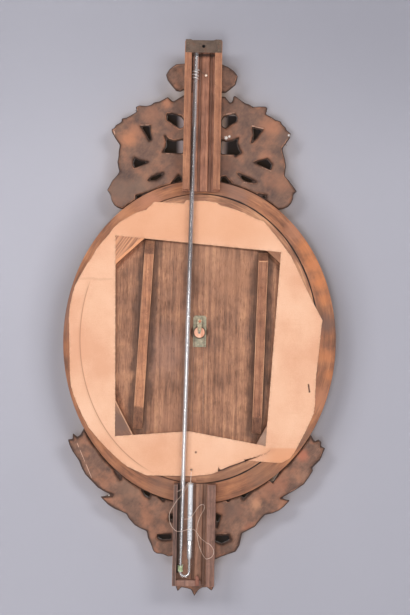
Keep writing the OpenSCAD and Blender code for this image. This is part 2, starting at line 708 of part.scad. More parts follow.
// Glass tube, mercury and float
wire_turn_r = tube_d / 2 + wire_d / 2 + 0.15;
tube_depth = floor_back - 0.2 - max(arm_d / 2, wire_turn_r + wire_d / 2);
arm_x = 9.2;
long_foot_x = 25.6;
bend_gap = 2.8;
bend_z = block_top + bend_gap + bend_d / 2;
bend_c_z = bend_z + (long_foot_x - arm_x) / 2;
long_top = 4;
taper_foot = 30;
taper_h = 140;
arm_neck = bend_c_z + 20.6;
arm_wide = arm_neck + 8;
arm_mouth = lower_start + 2;
column_foot_z = arm_wide + 28;
column_top_z = column_foot_z + column_h;
wire_foot = -57;
function tube_x_at(z) = long_foot_x - (z - bend_c_z) * tan(tube_lean);
upper_tube_x = tube_x_at(wire_foot);

// Puts its children, drawn upwards from the origin, along the long arm
module on_long_arm() translate([long_foot_x, -tube_depth, bend_c_z])
    rotate([0, -tube_lean, 0]) children();
module on_open_arm(z) translate([arm_x, -tube_depth, z]) children();
module foot_bend(d) translate([(arm_x + long_foot_x) / 2, -tube_depth, bend_c_z])
    rotate([90, 180, 0]) rotate_extrude(angle = 180, $fn = 64)
        translate([(long_foot_x - arm_x) / 2, 0]) circle(d = d, $fn = 24);
long_l = long_top - bend_c_z;

module barometer_tube() color(glass_colour) difference() {
    union() {
        on_long_arm() {
            cylinder(d = bend_d, h = taper_foot);
            translate([0, 0, taper_foot]) cylinder(d1 = bend_d, d2 = tube_d, h = taper_h);
            translate([0, 0, taper_foot + taper_h])
                cylinder(d = tube_d, h = long_l - taper_foot - taper_h);
            translate([0, 0, long_l]) sphere(d = tube_d);
        }
        foot_bend(bend_d);
        on_open_arm(bend_c_z) cylinder(d = bend_d, h = arm_neck - bend_c_z);
        on_open_arm(arm_neck) cylinder(d1 = bend_d, d2 = arm_d, h = arm_wide - arm_neck);
        on_open_arm(arm_wide) cylinder(d = arm_d, h = arm_mouth - arm_wide);
    }
    on_long_arm() {
        cylinder(d = bend_bore, h = taper_foot);
        translate([0, 0, taper_foot]) cylinder(d1 = bend_bore, d2 = tube_bore, h = taper_h);
        translate([0, 0, taper_foot + taper_h])
            cylinder(d = tube_bore, h = long_l - taper_foot - taper_h);
        translate([0, 0, long_l]) sphere(d = tube_bore);
    }
    foot_bend(bend_bore);
    on_open_arm(bend_c_z) cylinder(d = bend_bore, h = arm_neck - bend_c_z);
    on_open_arm(arm_neck) cylinder(d1 = bend_bore, d2 = arm_bore, h = arm_wide - arm_neck);
    on_open_arm(arm_wide) cylinder(d = arm_bore, h = arm_mouth - arm_wide + 1);
}

film = 0.1;
float_d = 6.4;
float_travel = 19;
float_sunk = 2;
float_l = 16;
well_foot = column_foot_z - float_sunk - float_travel - 4;

// The mercury can't flow, so it has a round well under the float's lowest place
module mercury_column() color(mercury_colour) difference() {
    union() {
        on_long_arm() {
            cylinder(d = bend_bore - film, h = taper_foot);
            translate([0, 0, taper_foot])
                cylinder(d1 = bend_bore - film, d2 = tube_bore - film, h = taper_h);
            translate([0, 0, taper_foot + taper_h])
                cylinder(d = tube_bore - film, h = column_top_z - bend_c_z - taper_foot - taper_h);
        }
        foot_bend(bend_bore - film);
        on_open_arm(bend_c_z) cylinder(d = bend_bore - film, h = arm_neck - bend_c_z);
        on_open_arm(arm_neck)
            cylinder(d1 = bend_bore - film, d2 = arm_bore - film, h = arm_wide - arm_neck);
        on_open_arm(arm_wide) cylinder(d = arm_bore - film, h = column_foot_z - arm_wide);
    }
    on_open_arm(well_foot) cylinder(d = float_d + 0.6, h = column_foot_z - well_foot + 1);
}

float_foot = column_foot_z - float_sunk;
module float_weight() color(steel) on_open_arm(float_foot) {
    translate([0, 0, 1]) cylinder(d = float_d, h = float_l - 3);
    cylinder(d1 = float_d - 2, d2 = float_d, h = 1);
    translate([0, 0, float_l - 2]) cylinder(d1 = float_d, d2 = 2, h = 2);
}
float_thread_l = 57;
module float_thread() color(thread_colour)
    on_open_arm(float_foot + float_l) cylinder(d = thread_d, h = float_thread_l);

weight_d = 6.4;
weight_l = 14;
weight_at = [pivot[0] - groove_r - 1.2, place_z(-726)];
module counterweight() color(brass)
    translate([weight_at[0], -groove_depth, weight_at[1] - weight_l / 2]) {
        cylinder(d = weight_d, h = weight_l - 2);
        translate([0, 0, weight_l - 2]) cylinder(d1 = weight_d, d2 = 2, h = 2);
    }
weight_thread_l = 86;
module counterweight_thread() color(thread_colour)
    translate([weight_at[0], -groove_depth, weight_at[1] + weight_l / 2])
        cylinder(d = thread_d, h = weight_thread_l);

// The thread from inside the open arm, over the pulley, to beside the counterweight
thread_r = groove_r + thread_d / 2 + 0.1;
over_pulley = [for (a = [0:15:180])
    [pivot[0] + thread_r * cos(a), -groove_depth, pivot[1] + thread_r * sin(a)]];
paper_depth = ring_back - paper_t / 2;
thread_rise = pivot[1] - thread_at[1];
weight_fall = weight_at[1] - pivot[1];
pulley_route = concat([
    [arm_x + 1.4, -tube_depth - 1.4, arm_mouth - 69],
    [arm_x + 1.4, -tube_depth - 1.8, arm_mouth - 43],
    [arm_x + 1, -tube_depth - 2.4, arm_mouth - 18],
    [arm_x + 0.6, -tube_depth - 3.2, arm_mouth - 1],
    [arm_x + 0.2, -tube_depth - 5.2, arm_mouth + 4],
    [thread_at[0], -paper_depth + 3, thread_at[1] - 5],
    [thread_at[0], -paper_depth - 0.2, thread_at[1]],
    [thread_at[0], -ring_back - 1.6, thread_at[1] + 8],
    [thread_at[0] - 0.3, -ring_back - 2.4, thread_at[1] + 0.3 * thread_rise],
    [thread_at[0] - 0.8, -ring_back - 3.2, thread_at[1] + 0.7 * thread_rise]],
    over_pulley, [
    [pivot[0] - thread_r, -groove_depth, pivot[1] + 0.3 * weight_fall],
    [pivot[0] - thread_r, -groove_depth, pivot[1] + 0.73 * weight_fall]]);
module pulley_thread() color(thread_colour) swept_tube(pulley_route, thread_d, 6);

// Wire tie round the head of the tube, three turns wound down the tube, and its nail
wire_turns = 3;
wire_pitch = 5.5;
turn_steps = 24;
tie_nail_at = [-5, -50];
tie_nail_l = 12;
function least_gap(route, d, near) = min([for (i = [0:len(route) - 1])
    for (j = [i + near:1:len(route) - 1]) norm(route[i] - route[j]) - d]);

wire_route = concat(
    [[upper_tube_x - wire_turn_r - 0.1, -floor_back - 2.6, wire_foot],
     [upper_tube_x - wire_turn_r - 0.1, -floor_back - 0.4, wire_foot],
     [upper_tube_x - wire_turn_r, -tube_depth - 1.6, wire_foot]],
    [for (i = [0:wire_turns * turn_steps]) let (a = 180 - 360 * i / turn_steps)
        [upper_tube_x + wire_turn_r * cos(a), -tube_depth + wire_turn_r * sin(a),
         wire_foot + wire_pitch * i / turn_steps]],
    [[upper_tube_x - wire_turn_r - 0.3, -tube_depth - 2.2, wire_foot + wire_turns * wire_pitch],
     [upper_tube_x - wire_turn_r - 5, -floor_back + 2.4, wire_foot + wire_turns * wire_pitch - 3],
     [tie_nail_at[0] + 3.4, -floor_back + wire_d, tie_nail_at[1] + 2.2]]);
wire_gap = least_gap(wire_route, wire_d, turn_steps - 6);
echo(wire_tie_gap = wire_gap);
module tube_wire_tie() color(brass) swept_tube(wire_route, wire_d, 6);

module tie_nail() color(iron) {
    spindle(tie_nail_at, nail_d, floor_back - 3, floor_back + tie_nail_l);
    spindle(tie_nail_at, nail_head_d, floor_back - 4, floor_back - 3);
}

// Green thread tie round the foot of the tube, wound five times
tie_foot = bend_c_z + 0.6;
tie_turns = 5;
tie_pitch = 2.2;
tie_turn_r = bend_d / 2 + tie_d / 2 + 0.5;
tie_x = tube_x_at(tie_foot + 5);
tie_route = concat(
    [[tie_x - tie_turn_r, -floor_back - 2.6, tie_foot],
     [tie_x - tie_turn_r, -floor_back - 0.6, tie_foot]],
    [for (i = [0:tie_turns * turn_steps]) let (a = 180 - 360 * i / turn_steps)
        [tie_x + tie_turn_r * cos(a), -tube_depth + tie_turn_r * sin(a),
         tie_foot + tie_pitch * i / turn_steps]],
    [[tie_x - tie_turn_r - 0.3, -tube_depth - 1.6, tie_foot + tie_turns * tie_pitch + 0.4],
     [tie_x - tie_turn_r - 0.6, -tube_depth - 3.2, tie_foot + tie_turns * tie_pitch + 0.4]]);
tie_gap = least_gap(tie_route, tie_d, turn_steps - 6);
echo(thread_tie_gap = tie_gap);
module thread_tie() color(green_thread) swept_tube(tie_route, tie_d, 6);

// The loose thread and its short tail, from inside the open arm to their bare ends, as
// x, depth and drop below the arm's mouth
loose_route = [
    [7.4, 17.4, 2], [8, 14.6, -2.5], [10, 12.2, -1.5], [12, 11.6, 1], [18, 11.6, 11],
    [24.5, 9.5, 20], [29, 6, 26], [31.6, 2.6, 28.5], [33.4, 1.1, 30.5], [36.5, 1.1, 35],
    [39.2, 1.2, 40], [42, 2, 44], [46.5, 3, 53], [47.5, 4.5, 62], [46, 4, 71], [42, 2, 79],
    [39.2, 1.2, 82], [36, 1.1, 85], [33.4, 1.1, 86.5], [31.6, 2.6, 87], [28, 7, 87.6],
    [24, 10, 88], [18, 11.4, 86], [9, 11.4, 83], [4, 12.2, 83.6], [1.6, 16.5, 85],
    [-3, 23.2, 90], [-9, 23.3, 100], [-16, 21, 105.5], [-20.2, 8, 106.6], [-21, 1.9, 107],
    [-22.6, 1.1, 107.4], [-26, 1.1, 108], [-33, 1.1, 115], [-36, 1.1, 124], [-32, 1.1, 133],
    [-24.5, 1.1, 136], [-22.4, 1.1, 136.2], [-20.9, 1.9, 136.2], [-19.5, 10, 135.6],
    [-14.5, 22.2, 131.5], [-8, 23.3, 116], [-5, 22.6, 102], [-3, 22.2, 88], [-5, 23.3, 73],
    [-10, 23.3, 59], [-17, 23.3, 48], [-16.5, 23.3, 39], [-8, 22.6, 40.5], [-1, 17.6, 50],
    [3.6, 12.6, 57.5], [9, 11.4, 64.5], [15, 11.6, 65.4], [20, 12.4, 66]];
tail_route = [
    [10.6, 17, 2], [11.4, 14.6, -2], [13.6, 13.2, -1.2], [15.6, 12.8, 2.5], [18, 12.4, 7],
    [24, 10.6, 10.5], [28.4, 6, 12.6], [31.4, 2.6, 13.8], [33.4, 1.1, 14.5]];
function from_mouth(route) = [for (p = route) [p[0], -p[1], arm_mouth - p[2]]];
module loose_thread() color(thread_colour) swept_tube(from_mouth(loose_route), loose_d, 8);
module thread_tail() color(thread_colour) swept_tube(from_mouth(tail_route), loose_d, 8);

hanging_plate();
hanging_plate_nails();
upper_rail_left();
upper_rail_right();
upper_channel_floor();
crest_carving();
crest_top();
outer_ring();
inner_ring();
sight_moulding();
pearl_beading();
dial_board();
batten_left();
batten_right();
dust_paper();
pivot_plate();
plate_pins();
pivot_cock();
cock_screw();
pulley();
arbor();
arbor_bush();
indicator_hand();
hand_cap();
dial_face();
sight_slip();
dial_glass();
lower_rail_left();
lower_rail_right();
lower_channel_floor();
apron_carving();
apron_pendant();
foot_block();
foot_wedge();
barometer_tube();
mercury_column();
tube_wire_tie();
tie_nail();
thread_tie();
float_weight();
float_thread();
counterweight();
counterweight_thread();
pulley_thread();
loose_thread();
thread_tail();
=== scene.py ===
# Oval giltwood barometer, seen from its back. Lengths are millimetres until mm() turns
# them into metres; a depth is the distance from the wall, so it lies at y = -depth.
from math import atan2, cos, exp, floor, hypot, pi, radians, sin, sqrt, tan

import bmesh
import bpy
import numpy as np
from mathutils import Matrix, Vector, noise


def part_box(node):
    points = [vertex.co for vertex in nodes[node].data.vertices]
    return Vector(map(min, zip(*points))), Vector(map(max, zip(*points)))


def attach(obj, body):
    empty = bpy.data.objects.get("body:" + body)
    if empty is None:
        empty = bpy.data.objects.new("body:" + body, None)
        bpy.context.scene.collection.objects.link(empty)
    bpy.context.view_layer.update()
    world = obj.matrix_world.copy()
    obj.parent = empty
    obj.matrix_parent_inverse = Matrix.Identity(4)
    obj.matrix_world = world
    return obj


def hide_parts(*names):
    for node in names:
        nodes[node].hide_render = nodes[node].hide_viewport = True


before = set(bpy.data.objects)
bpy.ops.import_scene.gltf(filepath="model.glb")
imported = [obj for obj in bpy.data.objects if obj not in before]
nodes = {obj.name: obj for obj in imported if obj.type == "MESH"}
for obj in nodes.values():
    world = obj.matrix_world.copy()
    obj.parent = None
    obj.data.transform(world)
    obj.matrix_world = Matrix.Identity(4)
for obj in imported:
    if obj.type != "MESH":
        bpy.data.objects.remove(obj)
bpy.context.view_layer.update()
MM = 0.001
# The offsets of noise_vector come from this seed, so each run gives the same shapes
noise.seed_set(1)


def mm(x, depth, z):
    """A point in metres from its x, its depth from the wall and its height."""
    return Vector((x, -depth, z)) * MM


def reach(node):
    """A node's lowest and highest corner, in millimetres."""
    low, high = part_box(node)
    return low / MM, high / MM


# Camera: 3 m behind the wall side, turned a little, as the photograph was taken
VIEW_CENTRE = (-11.0, -475.4)
VIEW_DISTANCE = 3000
VIEW_HEIGHT = 1.82 * 615
VIEW_ROLL = radians(1.06)


def make_camera():
    lens = bpy.data.cameras.new("camera")
    lens.sensor_fit = "AUTO"
    lens.sensor_width = 36
    lens.lens = lens.sensor_width * VIEW_DISTANCE / VIEW_HEIGHT
    lens.clip_start = 0.05
    lens.clip_end = 30
    camera = bpy.data.objects.new("camera", lens)
    across = Vector((-cos(VIEW_ROLL), 0, sin(VIEW_ROLL)))
    up = Vector((sin(VIEW_ROLL), 0, cos(VIEW_ROLL)))
    turned = Matrix((across, up, (0, 1, 0))).transposed().to_4x4()
    camera.matrix_world = Matrix.Translation(
        mm(VIEW_CENTRE[0], -VIEW_DISTANCE, VIEW_CENTRE[1])) @ turned
    bpy.context.scene.collection.objects.link(camera)
    bpy.context.scene.camera = camera


make_camera()


# Colours and shader sockets
def tint(red, green, blue):
    """A colour given as it should look on screen, from 0 to 255."""
    def linear(c):
        c /= 255
        return c / 12.92 if c <= 0.04045 else ((c + 0.055) / 1.055) ** 2.4
    return (linear(red), linear(green), linear(blue), 1)


class Value:
    """A socket of a finish. Sums on it add Math nodes."""

    def __init__(self, finish, socket):
        self.finish = finish
        self.socket = socket

    def __add__(self, other):
        return self.finish.maths("ADD", self, other)

    def __sub__(self, other):
        return self.finish.maths("SUBTRACT", self, other)

    def __rsub__(self, other):
        return self.finish.maths("SUBTRACT", other, self)

    def __mul__(self, other):
        return self.finish.maths("MULTIPLY", self, other)

    def __truediv__(self, other):
        return self.finish.maths("DIVIDE", self, other)

    def __pow__(self, other):
        return self.finish.maths("POWER", self, other)

    def __abs__(self):
        return self.finish.maths("ABSOLUTE", self)

    def clipped(self):
        """The value kept between 0 and 1."""
        above = self.finish.maths("MAXIMUM", self, 0.0)
        return self.finish.maths("MINIMUM", above, 1.0)

    __radd__ = __add__
    __rmul__ = __mul__


class Finish:
    """One material, with its Principled shader and its object coordinates."""

    def __init__(self, name):
        self.material = bpy.data.materials.new(name)
        self.material.use_nodes = True
        self.tree = self.material.node_tree
        self.shader = self.tree.nodes["Principled BSDF"]
        self.place = self.node("TexCoord", output="Object")

    def node(self, kind, settings=None, inputs=None, output=0):
        """Adds a shader node, sets it, joins its inputs and gives one of its outputs."""
        made = self.tree.nodes.new("ShaderNode" + kind)
        for name, value in (settings or {}).items():
            if name == "stops":
                self.set_stops(made.color_ramp, value)
            else:
                setattr(made, name, value)
        for name, value in (inputs or {}).items():
            self.join(value, made.inputs[name])
        return Value(self, made.outputs[output])

    def maths(self, operation, *terms):
        return self.node("Math", {"operation": operation}, dict(enumerate(terms)))

    def set_stops(self, ramp, stops):
        for place, colour in stops[1:-1]:
            ramp.elements.new(place)
        for element, (place, colour) in zip(ramp.elements, stops):
            element.position = place
            element.color = colour

    def join(self, value, socket):
        if isinstance(value, Value):
            self.tree.links.new(value.socket, socket)
        else:
            socket.default_value = value

    def put(self, **inputs):
        """Sets or links the shader's own sockets, such as Base_Color."""
        for name, value in inputs.items():
            self.join(value, self.shader.inputs[name.replace("_", " ")])
        return self

    def stretched(self, scale, turn=(0, 0, 0)):
        """The place turned and then scaled, so that noise runs along a slanting grain."""
        inputs = {"Vector": self.place, "Scale": [1 / s for s in scale], "Rotation": turn}
        return self.node("Mapping", {"vector_type": "TEXTURE"}, inputs)

    def cloud(self, size, detail=3.0, stretch=(1, 1, 1), turn=(0, 0, 0), rough=0.55,
              place=None):
        """Noise from about 0.3 to 0.7 whose blotches are about this many millimetres."""
        if place is None:
            place = self.place if stretch == (1, 1, 1) else self.stretched(stretch, turn)
        inputs = {"Vector": place, "Scale": 1 / (size * MM), "Detail": detail,
                  "Roughness": rough}
        return self.node("TexNoise", None, inputs)

    def step(self, value, low, high):
        """0 below low and 1 above high, with a smooth rise between them."""
        inputs = {"Value": value, "From Min": low, "From Max": high}
        return self.node("MapRange", {"interpolation_type": "SMOOTHSTEP"}, inputs)

    def mix(self, share, one, other, way="MIX"):
        settings = {"data_type": "RGBA", "blend_type": way, "clamp_result": True}
        return self.node("Mix", settings, {0: share, 6: one, 7: other}, 2)

    def ramp(self, value, *stops):
        return self.node("ValToRGB", {"stops": stops}, {"Fac": value})

    def bump(self, height, depth, normal=None):
        """A Bump node for heights from 0 to 1, as deep as that many millimetres."""
        inputs = {"Height": height, "Distance": depth * MM, "Strength": 1.0}
        if normal:
            inputs["Normal"] = normal
        return self.node("Bump", None, inputs)

    def axis(self, name):
        """The x, depth or z of the place, in millimetres."""
        along = self.node("SeparateXYZ", None, {0: self.place}, "XYZ".index(name))
        return along / MM

    def near(self, x, z, radius, ragged=0.6, soft=0.5):
        """1 within a ragged round patch on the back or front, 0 outside it."""
        across = self.axis("X") - x
        along = self.axis("Z") - z
        away = (across * across + along * along) ** 0.5
        edge = away + (self.cloud(radius * 0.4, 4) - 0.5) * (2 * ragged * radius)
        return 1 - self.step(edge, radius * (0.7 - soft), radius * (0.7 + soft))

    def wallward(self):
        """1 on faces that look at the wall, -1 on those that look forward."""
        normal = self.node("TexCoord", output="Normal")
        return self.node("SeparateXYZ", None, {0: normal}, 1)

    def backward(self):
        """1 on faces that look at the wall or sideways, 0 on those that look forward."""
        return self.step(self.wallward(), -0.5, 0.0)

    def beside(self, start, end, low, high):
        """1 within low of a straight line between two points (x, z), 0 beyond high of it."""
        run = Vector(end) - Vector(start)
        across, along = self.axis("X") - start[0], self.axis("Z") - start[1]
        share = ((across * run.x + along * run.y) / run.length_squared).clipped()
        across, along = across - share * run.x, along - share * run.y
        away = (across * across + along * along) ** 0.5
        return 1 - self.step(away + (self.cloud(high, 3) - 0.5) * high, low, high)

    def off_oval(self, oval):
        """About how many millimetres the place lies outside an oval."""
        across = (self.axis("X") - oval[0]) / oval[2]
        along = (self.axis("Z") - oval[1]) / oval[3]
        return ((across * across + along * along) ** 0.5 - 1) * ((oval[2] + oval[3]) / 2)

    def along_oval(self, oval, stretch):
        """A place for noise that runs round an oval, with its seam at the foot."""
        across, along = self.axis("X") - oval[0], self.axis("Z") - oval[1]
        turn = self.maths("ARCTAN2", across, along)
        parts = {0: turn * (oval[2] * stretch * MM), 1: self.off_oval(oval) * MM,
                 2: self.axis("Y") * MM}
        return self.node("CombineXYZ", None, parts)

    def between(self, value, low, high, soft):
        """1 from low to high, falling to 0 within a soft border outside them."""
        return self.step(value, low - soft, low) * (1 - self.step(value, high, high + soft))


# Ovals: a centre and two half sizes, taken from the frame
def oval_of(low, high, grow=0.0):
    return ((low.x + high.x) / 2, (low.z + high.z) / 2, (high.x - low.x) / 2 + grow,
            (high.z - low.z) / 2 + grow)


def on_oval(oval, angle):
    x, z, half_w, half_h = oval
    return Vector((x + half_w * cos(angle), z + half_h * sin(angle)))


OUTER = oval_of(*reach("outer_ring"))
JOINT_GAP = 0.8
JOINT = oval_of(*reach("inner_ring"), JOINT_GAP)
SIGHT = oval_of(*reach("dial_glass"), -4.5)
RING_BACK = -reach("outer_ring")[1].y
LIP_BACK = -reach("inner_ring")[0].y


# Looks of the wood, one set of shades for each timber
# Dark colour for the painted shade at cut edges and in the joint between the rings.
DARK_EDGE = tint(52, 38, 33)
GESSO = tint(236, 228, 220)


def add_patches(f, colour, patches):
    """Lays ragged patches (x, z, radius, colour, strength) over a back's colour."""
    back = f.backward()
    for x, z, radius, shade, strength in patches:
        colour = f.mix(f.near(x, z, radius, 0.4) * strength * back, colour, shade)
    return colour


FIBRES = (1, 1, 0.05)
YEAR_BANDS = (1, 1, 0.015)


def wood_grain(f, shades, scale=1.0):
    """Colour and height of sawn wood whose fibres run up and down."""
    dark, middle, light = shades
    fibres = f.cloud(1.6 * scale, 5, FIBRES, rough=0.7)
    bands = f.cloud(9 * scale, 4, YEAR_BANDS, rough=0.6)
    stain = f.cloud(45, 4)
    share = fibres * 0.34 + bands * 0.42 + stain * 0.34 - 0.05
    colour = f.ramp(share, (0.38, dark), (0.52, middle), (0.68, light))
    pores = f.cloud(0.9 * scale, 2, FIBRES, rough=0.5)
    pits = f.step(pores, 0.62, 0.72)
    colour = f.mix(pits * 0.55, colour, dark)
    grime_and_shadow = f.step(f.cloud(14, 5), 0.50, 0.66)
    colour = f.mix(grime_and_shadow * 0.25, colour, dark)
    height = fibres * 0.6 + bands * 0.5 - pits * 0.5
    return colour, height


def wood(name, shades, patches=(), depth=0.5, scale=1.0, dark_from=None, specks=0.0,
         shadows=()):
    """Sawn wood, with painted shade beyond the depth dark_from and painted shadows beside lines,
    with some dark specks.
    """
    f = Finish(name)
    colour, height = wood_grain(f, shades, scale)
    colour = add_patches(f, colour, patches)
    if specks:
        spots = f.step(f.cloud(4.5, 4, rough=0.6), 0.58, 0.68)
        colour = f.mix(spots * specks, colour, shades[0])
    # Painted shade: whatever lies deeper than dark_from, such as grooves and the sides and ends of
    # battens, is darkened.
    if dark_from:
        depth_here = f.axis("Y") * -1 + (f.cloud(12, 3) - 0.5) * 2
        deep = f.step(depth_here, dark_from - 0.6, dark_from + 1.2)
        colour = f.mix(deep * 0.5, colour, tint(70, 48, 39))
    # Painted shadows along lines (start, end, near and far distance, strength) on faces towards the
    # wall.
    for start, end, low, high, strength in shadows:
        shade = f.beside(start, end, low, high) * strength * f.backward()
        colour = f.mix(shade, colour, tint(70, 49, 40))
    rough = 0.50 + f.cloud(20, 3) * 0.4
    return f.put(Base_Color=colour, Roughness=rough, Normal=f.bump(height, depth))


BATTEN_HALF_W = 8


def batten_line(node):
    """The shade beside a leaning batten: its middle line, two distances and a strength."""
    low, high = reach(node)
    top = (low.x + BATTEN_HALF_W, high.z - 4)
    foot = (high.x - BATTEN_HALF_W, low.z + 4)
    return top, foot, 13, 25, 0.62


# Ends of the line along which the tube's painted shadow falls on the board and the paper.
TUBE_TOP, TUBE_FOOT = (15.6, -190), (23.5, -800)
PIVOT = (-1.5, -521.5)


def gilding(f):
    """Colour and height of old gold leaf that has worn to its red ground."""
    tone = f.cloud(30, 4)
    gold = f.ramp(tone, (0.36, tint(176, 126, 58)), (0.52, tint(214, 168, 88)),
                  (0.66, tint(236, 198, 124)))
    wear = f.step(f.cloud(7, 6, rough=0.7), 0.57, 0.63)
    gold = f.mix(wear, gold, tint(140, 66, 42))
    bare = f.step(f.cloud(11, 5, rough=0.7), 0.66, 0.68)
    gold = f.mix(bare, gold, GESSO)
    return gold, (1 - wear) * (1 - bare)


def gilt(name):
    """Gilding on gesso, as on the front of the frame."""
    f = Finish(name)
    colour, leaf = gilding(f)
    height = f.cloud(2.5, 4) + leaf * 0.3
    return f.put(Base_Color=colour, Metallic=leaf * 0.9, Roughness=0.62 - leaf * 0.28,
                 Normal=f.bump(height, 0.25))


def carved_wood(name, shades, patches, chips, edge_highlights=(), warmth=0.5):
    """Mottled wood behind, darker at its cut edges as bare wood with painted shade, with gold on
    what faces the front.
    """
    f = Finish(name)
    dark, middle, light = shades
    fibres = f.cloud(2.0, 4, (0.2, 1, 1), (0, 0.9, 0), 0.6)
    tone = f.cloud(36, 5) * 0.5 + f.cloud(8, 5, rough=0.65) * 0.3 + fibres * 0.2
    colour = f.ramp(tone, (0.38, dark), (0.50, middle), (0.62, light))
    warm = f.step(f.cloud(30, 4), 0.46, 0.68)
    colour = f.mix(warm * warmth, colour, WARM)
    colour = add_patches(f, colour, patches)
    rim = f.node("Attribute", {"attribute_name": "rim"}, None, "Fac") / MM
    ragged = rim + (f.cloud(6, 4) - 0.5) * 4
    # A lighter line just inside the outline: wear, and a painted highlight on the edge of the flat
    # back.
    edge_wear_and_highlight = f.between(ragged, 2.4, 3.0, 0.8) * f.step(f.cloud(24, 3), 0.50, 0.60)
    colour = f.mix(edge_wear_and_highlight * 0.7, colour, tint(200, 146, 116))
    # Bare cut wood with painted shade: the outline's edge and the sides deeper than about 43 mm are
    # darkened.
    depth = f.axis("Y") * -1
    inner = f.step(depth + (f.cloud(5, 4) - 0.5) * 4, 42.0, 44.5)
    cut_edge = f.mix(f.cloud(4, 4), DARK_EDGE, tint(84, 60, 50))
    colour = f.mix((1 - f.step(ragged, 0.6, 2.0)) * 0.5, colour, cut_edge)
    colour = f.mix(inner * 0.85, colour, cut_edge)
    for x, z, radius in chips:
        colour = f.mix(f.near(x, z, radius, 0.9, 0.15), colour, GESSO)
    # Painted highlights: pale lines along the lit edges of the openings and the outline.
    for start, end, wide in edge_highlights:
        shown = f.beside(start, end, wide * 0.3, wide) * f.step(f.cloud(9, 3), 0.42, 0.56)
        colour = f.mix(shown * 0.8, colour, tint(222, 178, 154))
    facing = f.wallward() * -1
    gold, leaf = gilding(f)
    front = f.step(facing + (depth - 60) * 0.06 + (f.cloud(4, 4) - 0.5), 0.0, 0.25)
    front = front * f.step(depth, 50, 54)
    colour = f.mix(front, colour, gold)
    carved = f.cloud(3.0, 4) * 0.6 + fibres * 0.4
    return f.put(Base_Color=colour, Metallic=front * leaf * 0.9,
                 Roughness=0.70 - front * leaf * 0.36, Normal=f.bump(carved, 0.6))


def ring_wood(name, shades, patches, oval, joint, marks=None, shade_line=()):
    """Wood whose bands run round an oval, with a painted shade line where two rings meet."""
    f = Finish(name)
    dark, middle, light = shades
    round_it = f.along_oval(oval, 0.12)
    tone = f.cloud(9, 5, place=round_it) * 0.4 + f.cloud(40, 5) * 0.35
    tone = tone + f.cloud(2.2, 4, place=round_it) * 0.25
    colour = f.ramp(tone, (0.37, dark), (0.50, middle), (0.64, light))
    colour = add_patches(f, colour, patches)
    height = tone
    if marks:
        colour, height = marks(f, colour, height)
    for start, end in zip(shade_line, shade_line[1:]):
        colour = f.mix(f.beside(start, end, 0.6, 2.4) * 0.9, colour, tint(70, 44, 32))
    # Painted shade in the joint between the rings, stronger towards -x.
    gap = abs(f.off_oval(joint))
    uneven = (f.cloud(30, 3) - 0.5) * 2.4
    shown = 0.35 + f.step(f.axis("X") * -1 + (f.cloud(60, 2) - 0.5) * 60, -40, 60) * 0.6
    colour = f.mix((1 - f.step(gap + uneven, 0.6, 2.0)) * shown, colour, DARK_EDGE)
    rough = 0.52 + f.cloud(20, 3) * 0.36
    return f.put(Base_Color=colour, Roughness=rough, Normal=f.bump(height, 0.5))


def saw_marks(f, colour, height):
    """Slanting saw marks at the seat's top left corner, and painted highlights on the edges at its
    left corners.
    """
    here = f.step(f.axis("X"), 92, 112) * f.step(f.axis("Z"), -430, -400)
    lines = f.cloud(3.4, 2, (0.03, 1, 1), (0, 0.96, 0), 0.4)
    ground = f.mix(here * 0.6, colour, tint(158, 104, 78))
    colour = f.mix(here * f.step(lines, 0.40, 0.62) * 0.85, ground, tint(222, 158, 118))
    # Painted highlights along the lit edges of the seat's two left corners.
    upper = (f.axis("X") - 72) * 0.68 + (f.axis("Z") + 322) * 0.73
    lower = (f.axis("X") - 172) * 0.885 - (f.axis("Z") + 608) * 0.466
    for off_edge, wide, shade in ((upper, 5, tint(236, 164, 116)),
                                  (lower, 1.6, tint(222, 170, 134))):
        edge = f.between(off_edge + (f.cloud(12, 3) - 0.5) * 3, 0.0, wide, 0.7)
        colour = f.mix(edge * f.step(f.axis("X"), 60, 80) * 0.85, colour, shade)
    return colour, height + here * lines * 2


WARM = tint(184, 122, 90)
RED_BROWN = tint(150, 92, 70)
RAIL = (tint(108, 66, 46), tint(168, 111, 80), tint(204, 146, 108))
LOWER_RAIL = (tint(88, 62, 52), tint(146, 106, 90), tint(184, 138, 118))
FLOOR = (tint(106, 68, 50), tint(172, 116, 90), tint(214, 154, 120))
BOARD = (tint(104, 70, 52), tint(168, 118, 90), tint(224, 166, 124))
RING = (tint(104, 66, 46), tint(153, 98, 68), tint(196, 132, 90))
CARVING = (tint(88, 66, 57), tint(116, 85, 70), tint(142, 103, 81))
INNER_RING = (tint(112, 74, 54), tint(168, 116, 86), tint(214, 158, 118))
BATTEN_EDGE = (tint(170, 116, 88), tint(224, 166, 126), tint(242, 196, 156))
LEFT_BATTEN = (tint(118, 74, 54), tint(192, 130, 94), tint(232, 172, 128))
RIGHT_BATTEN = (tint(100, 62, 45), tint(168, 112, 82), tint(208, 150, 112))

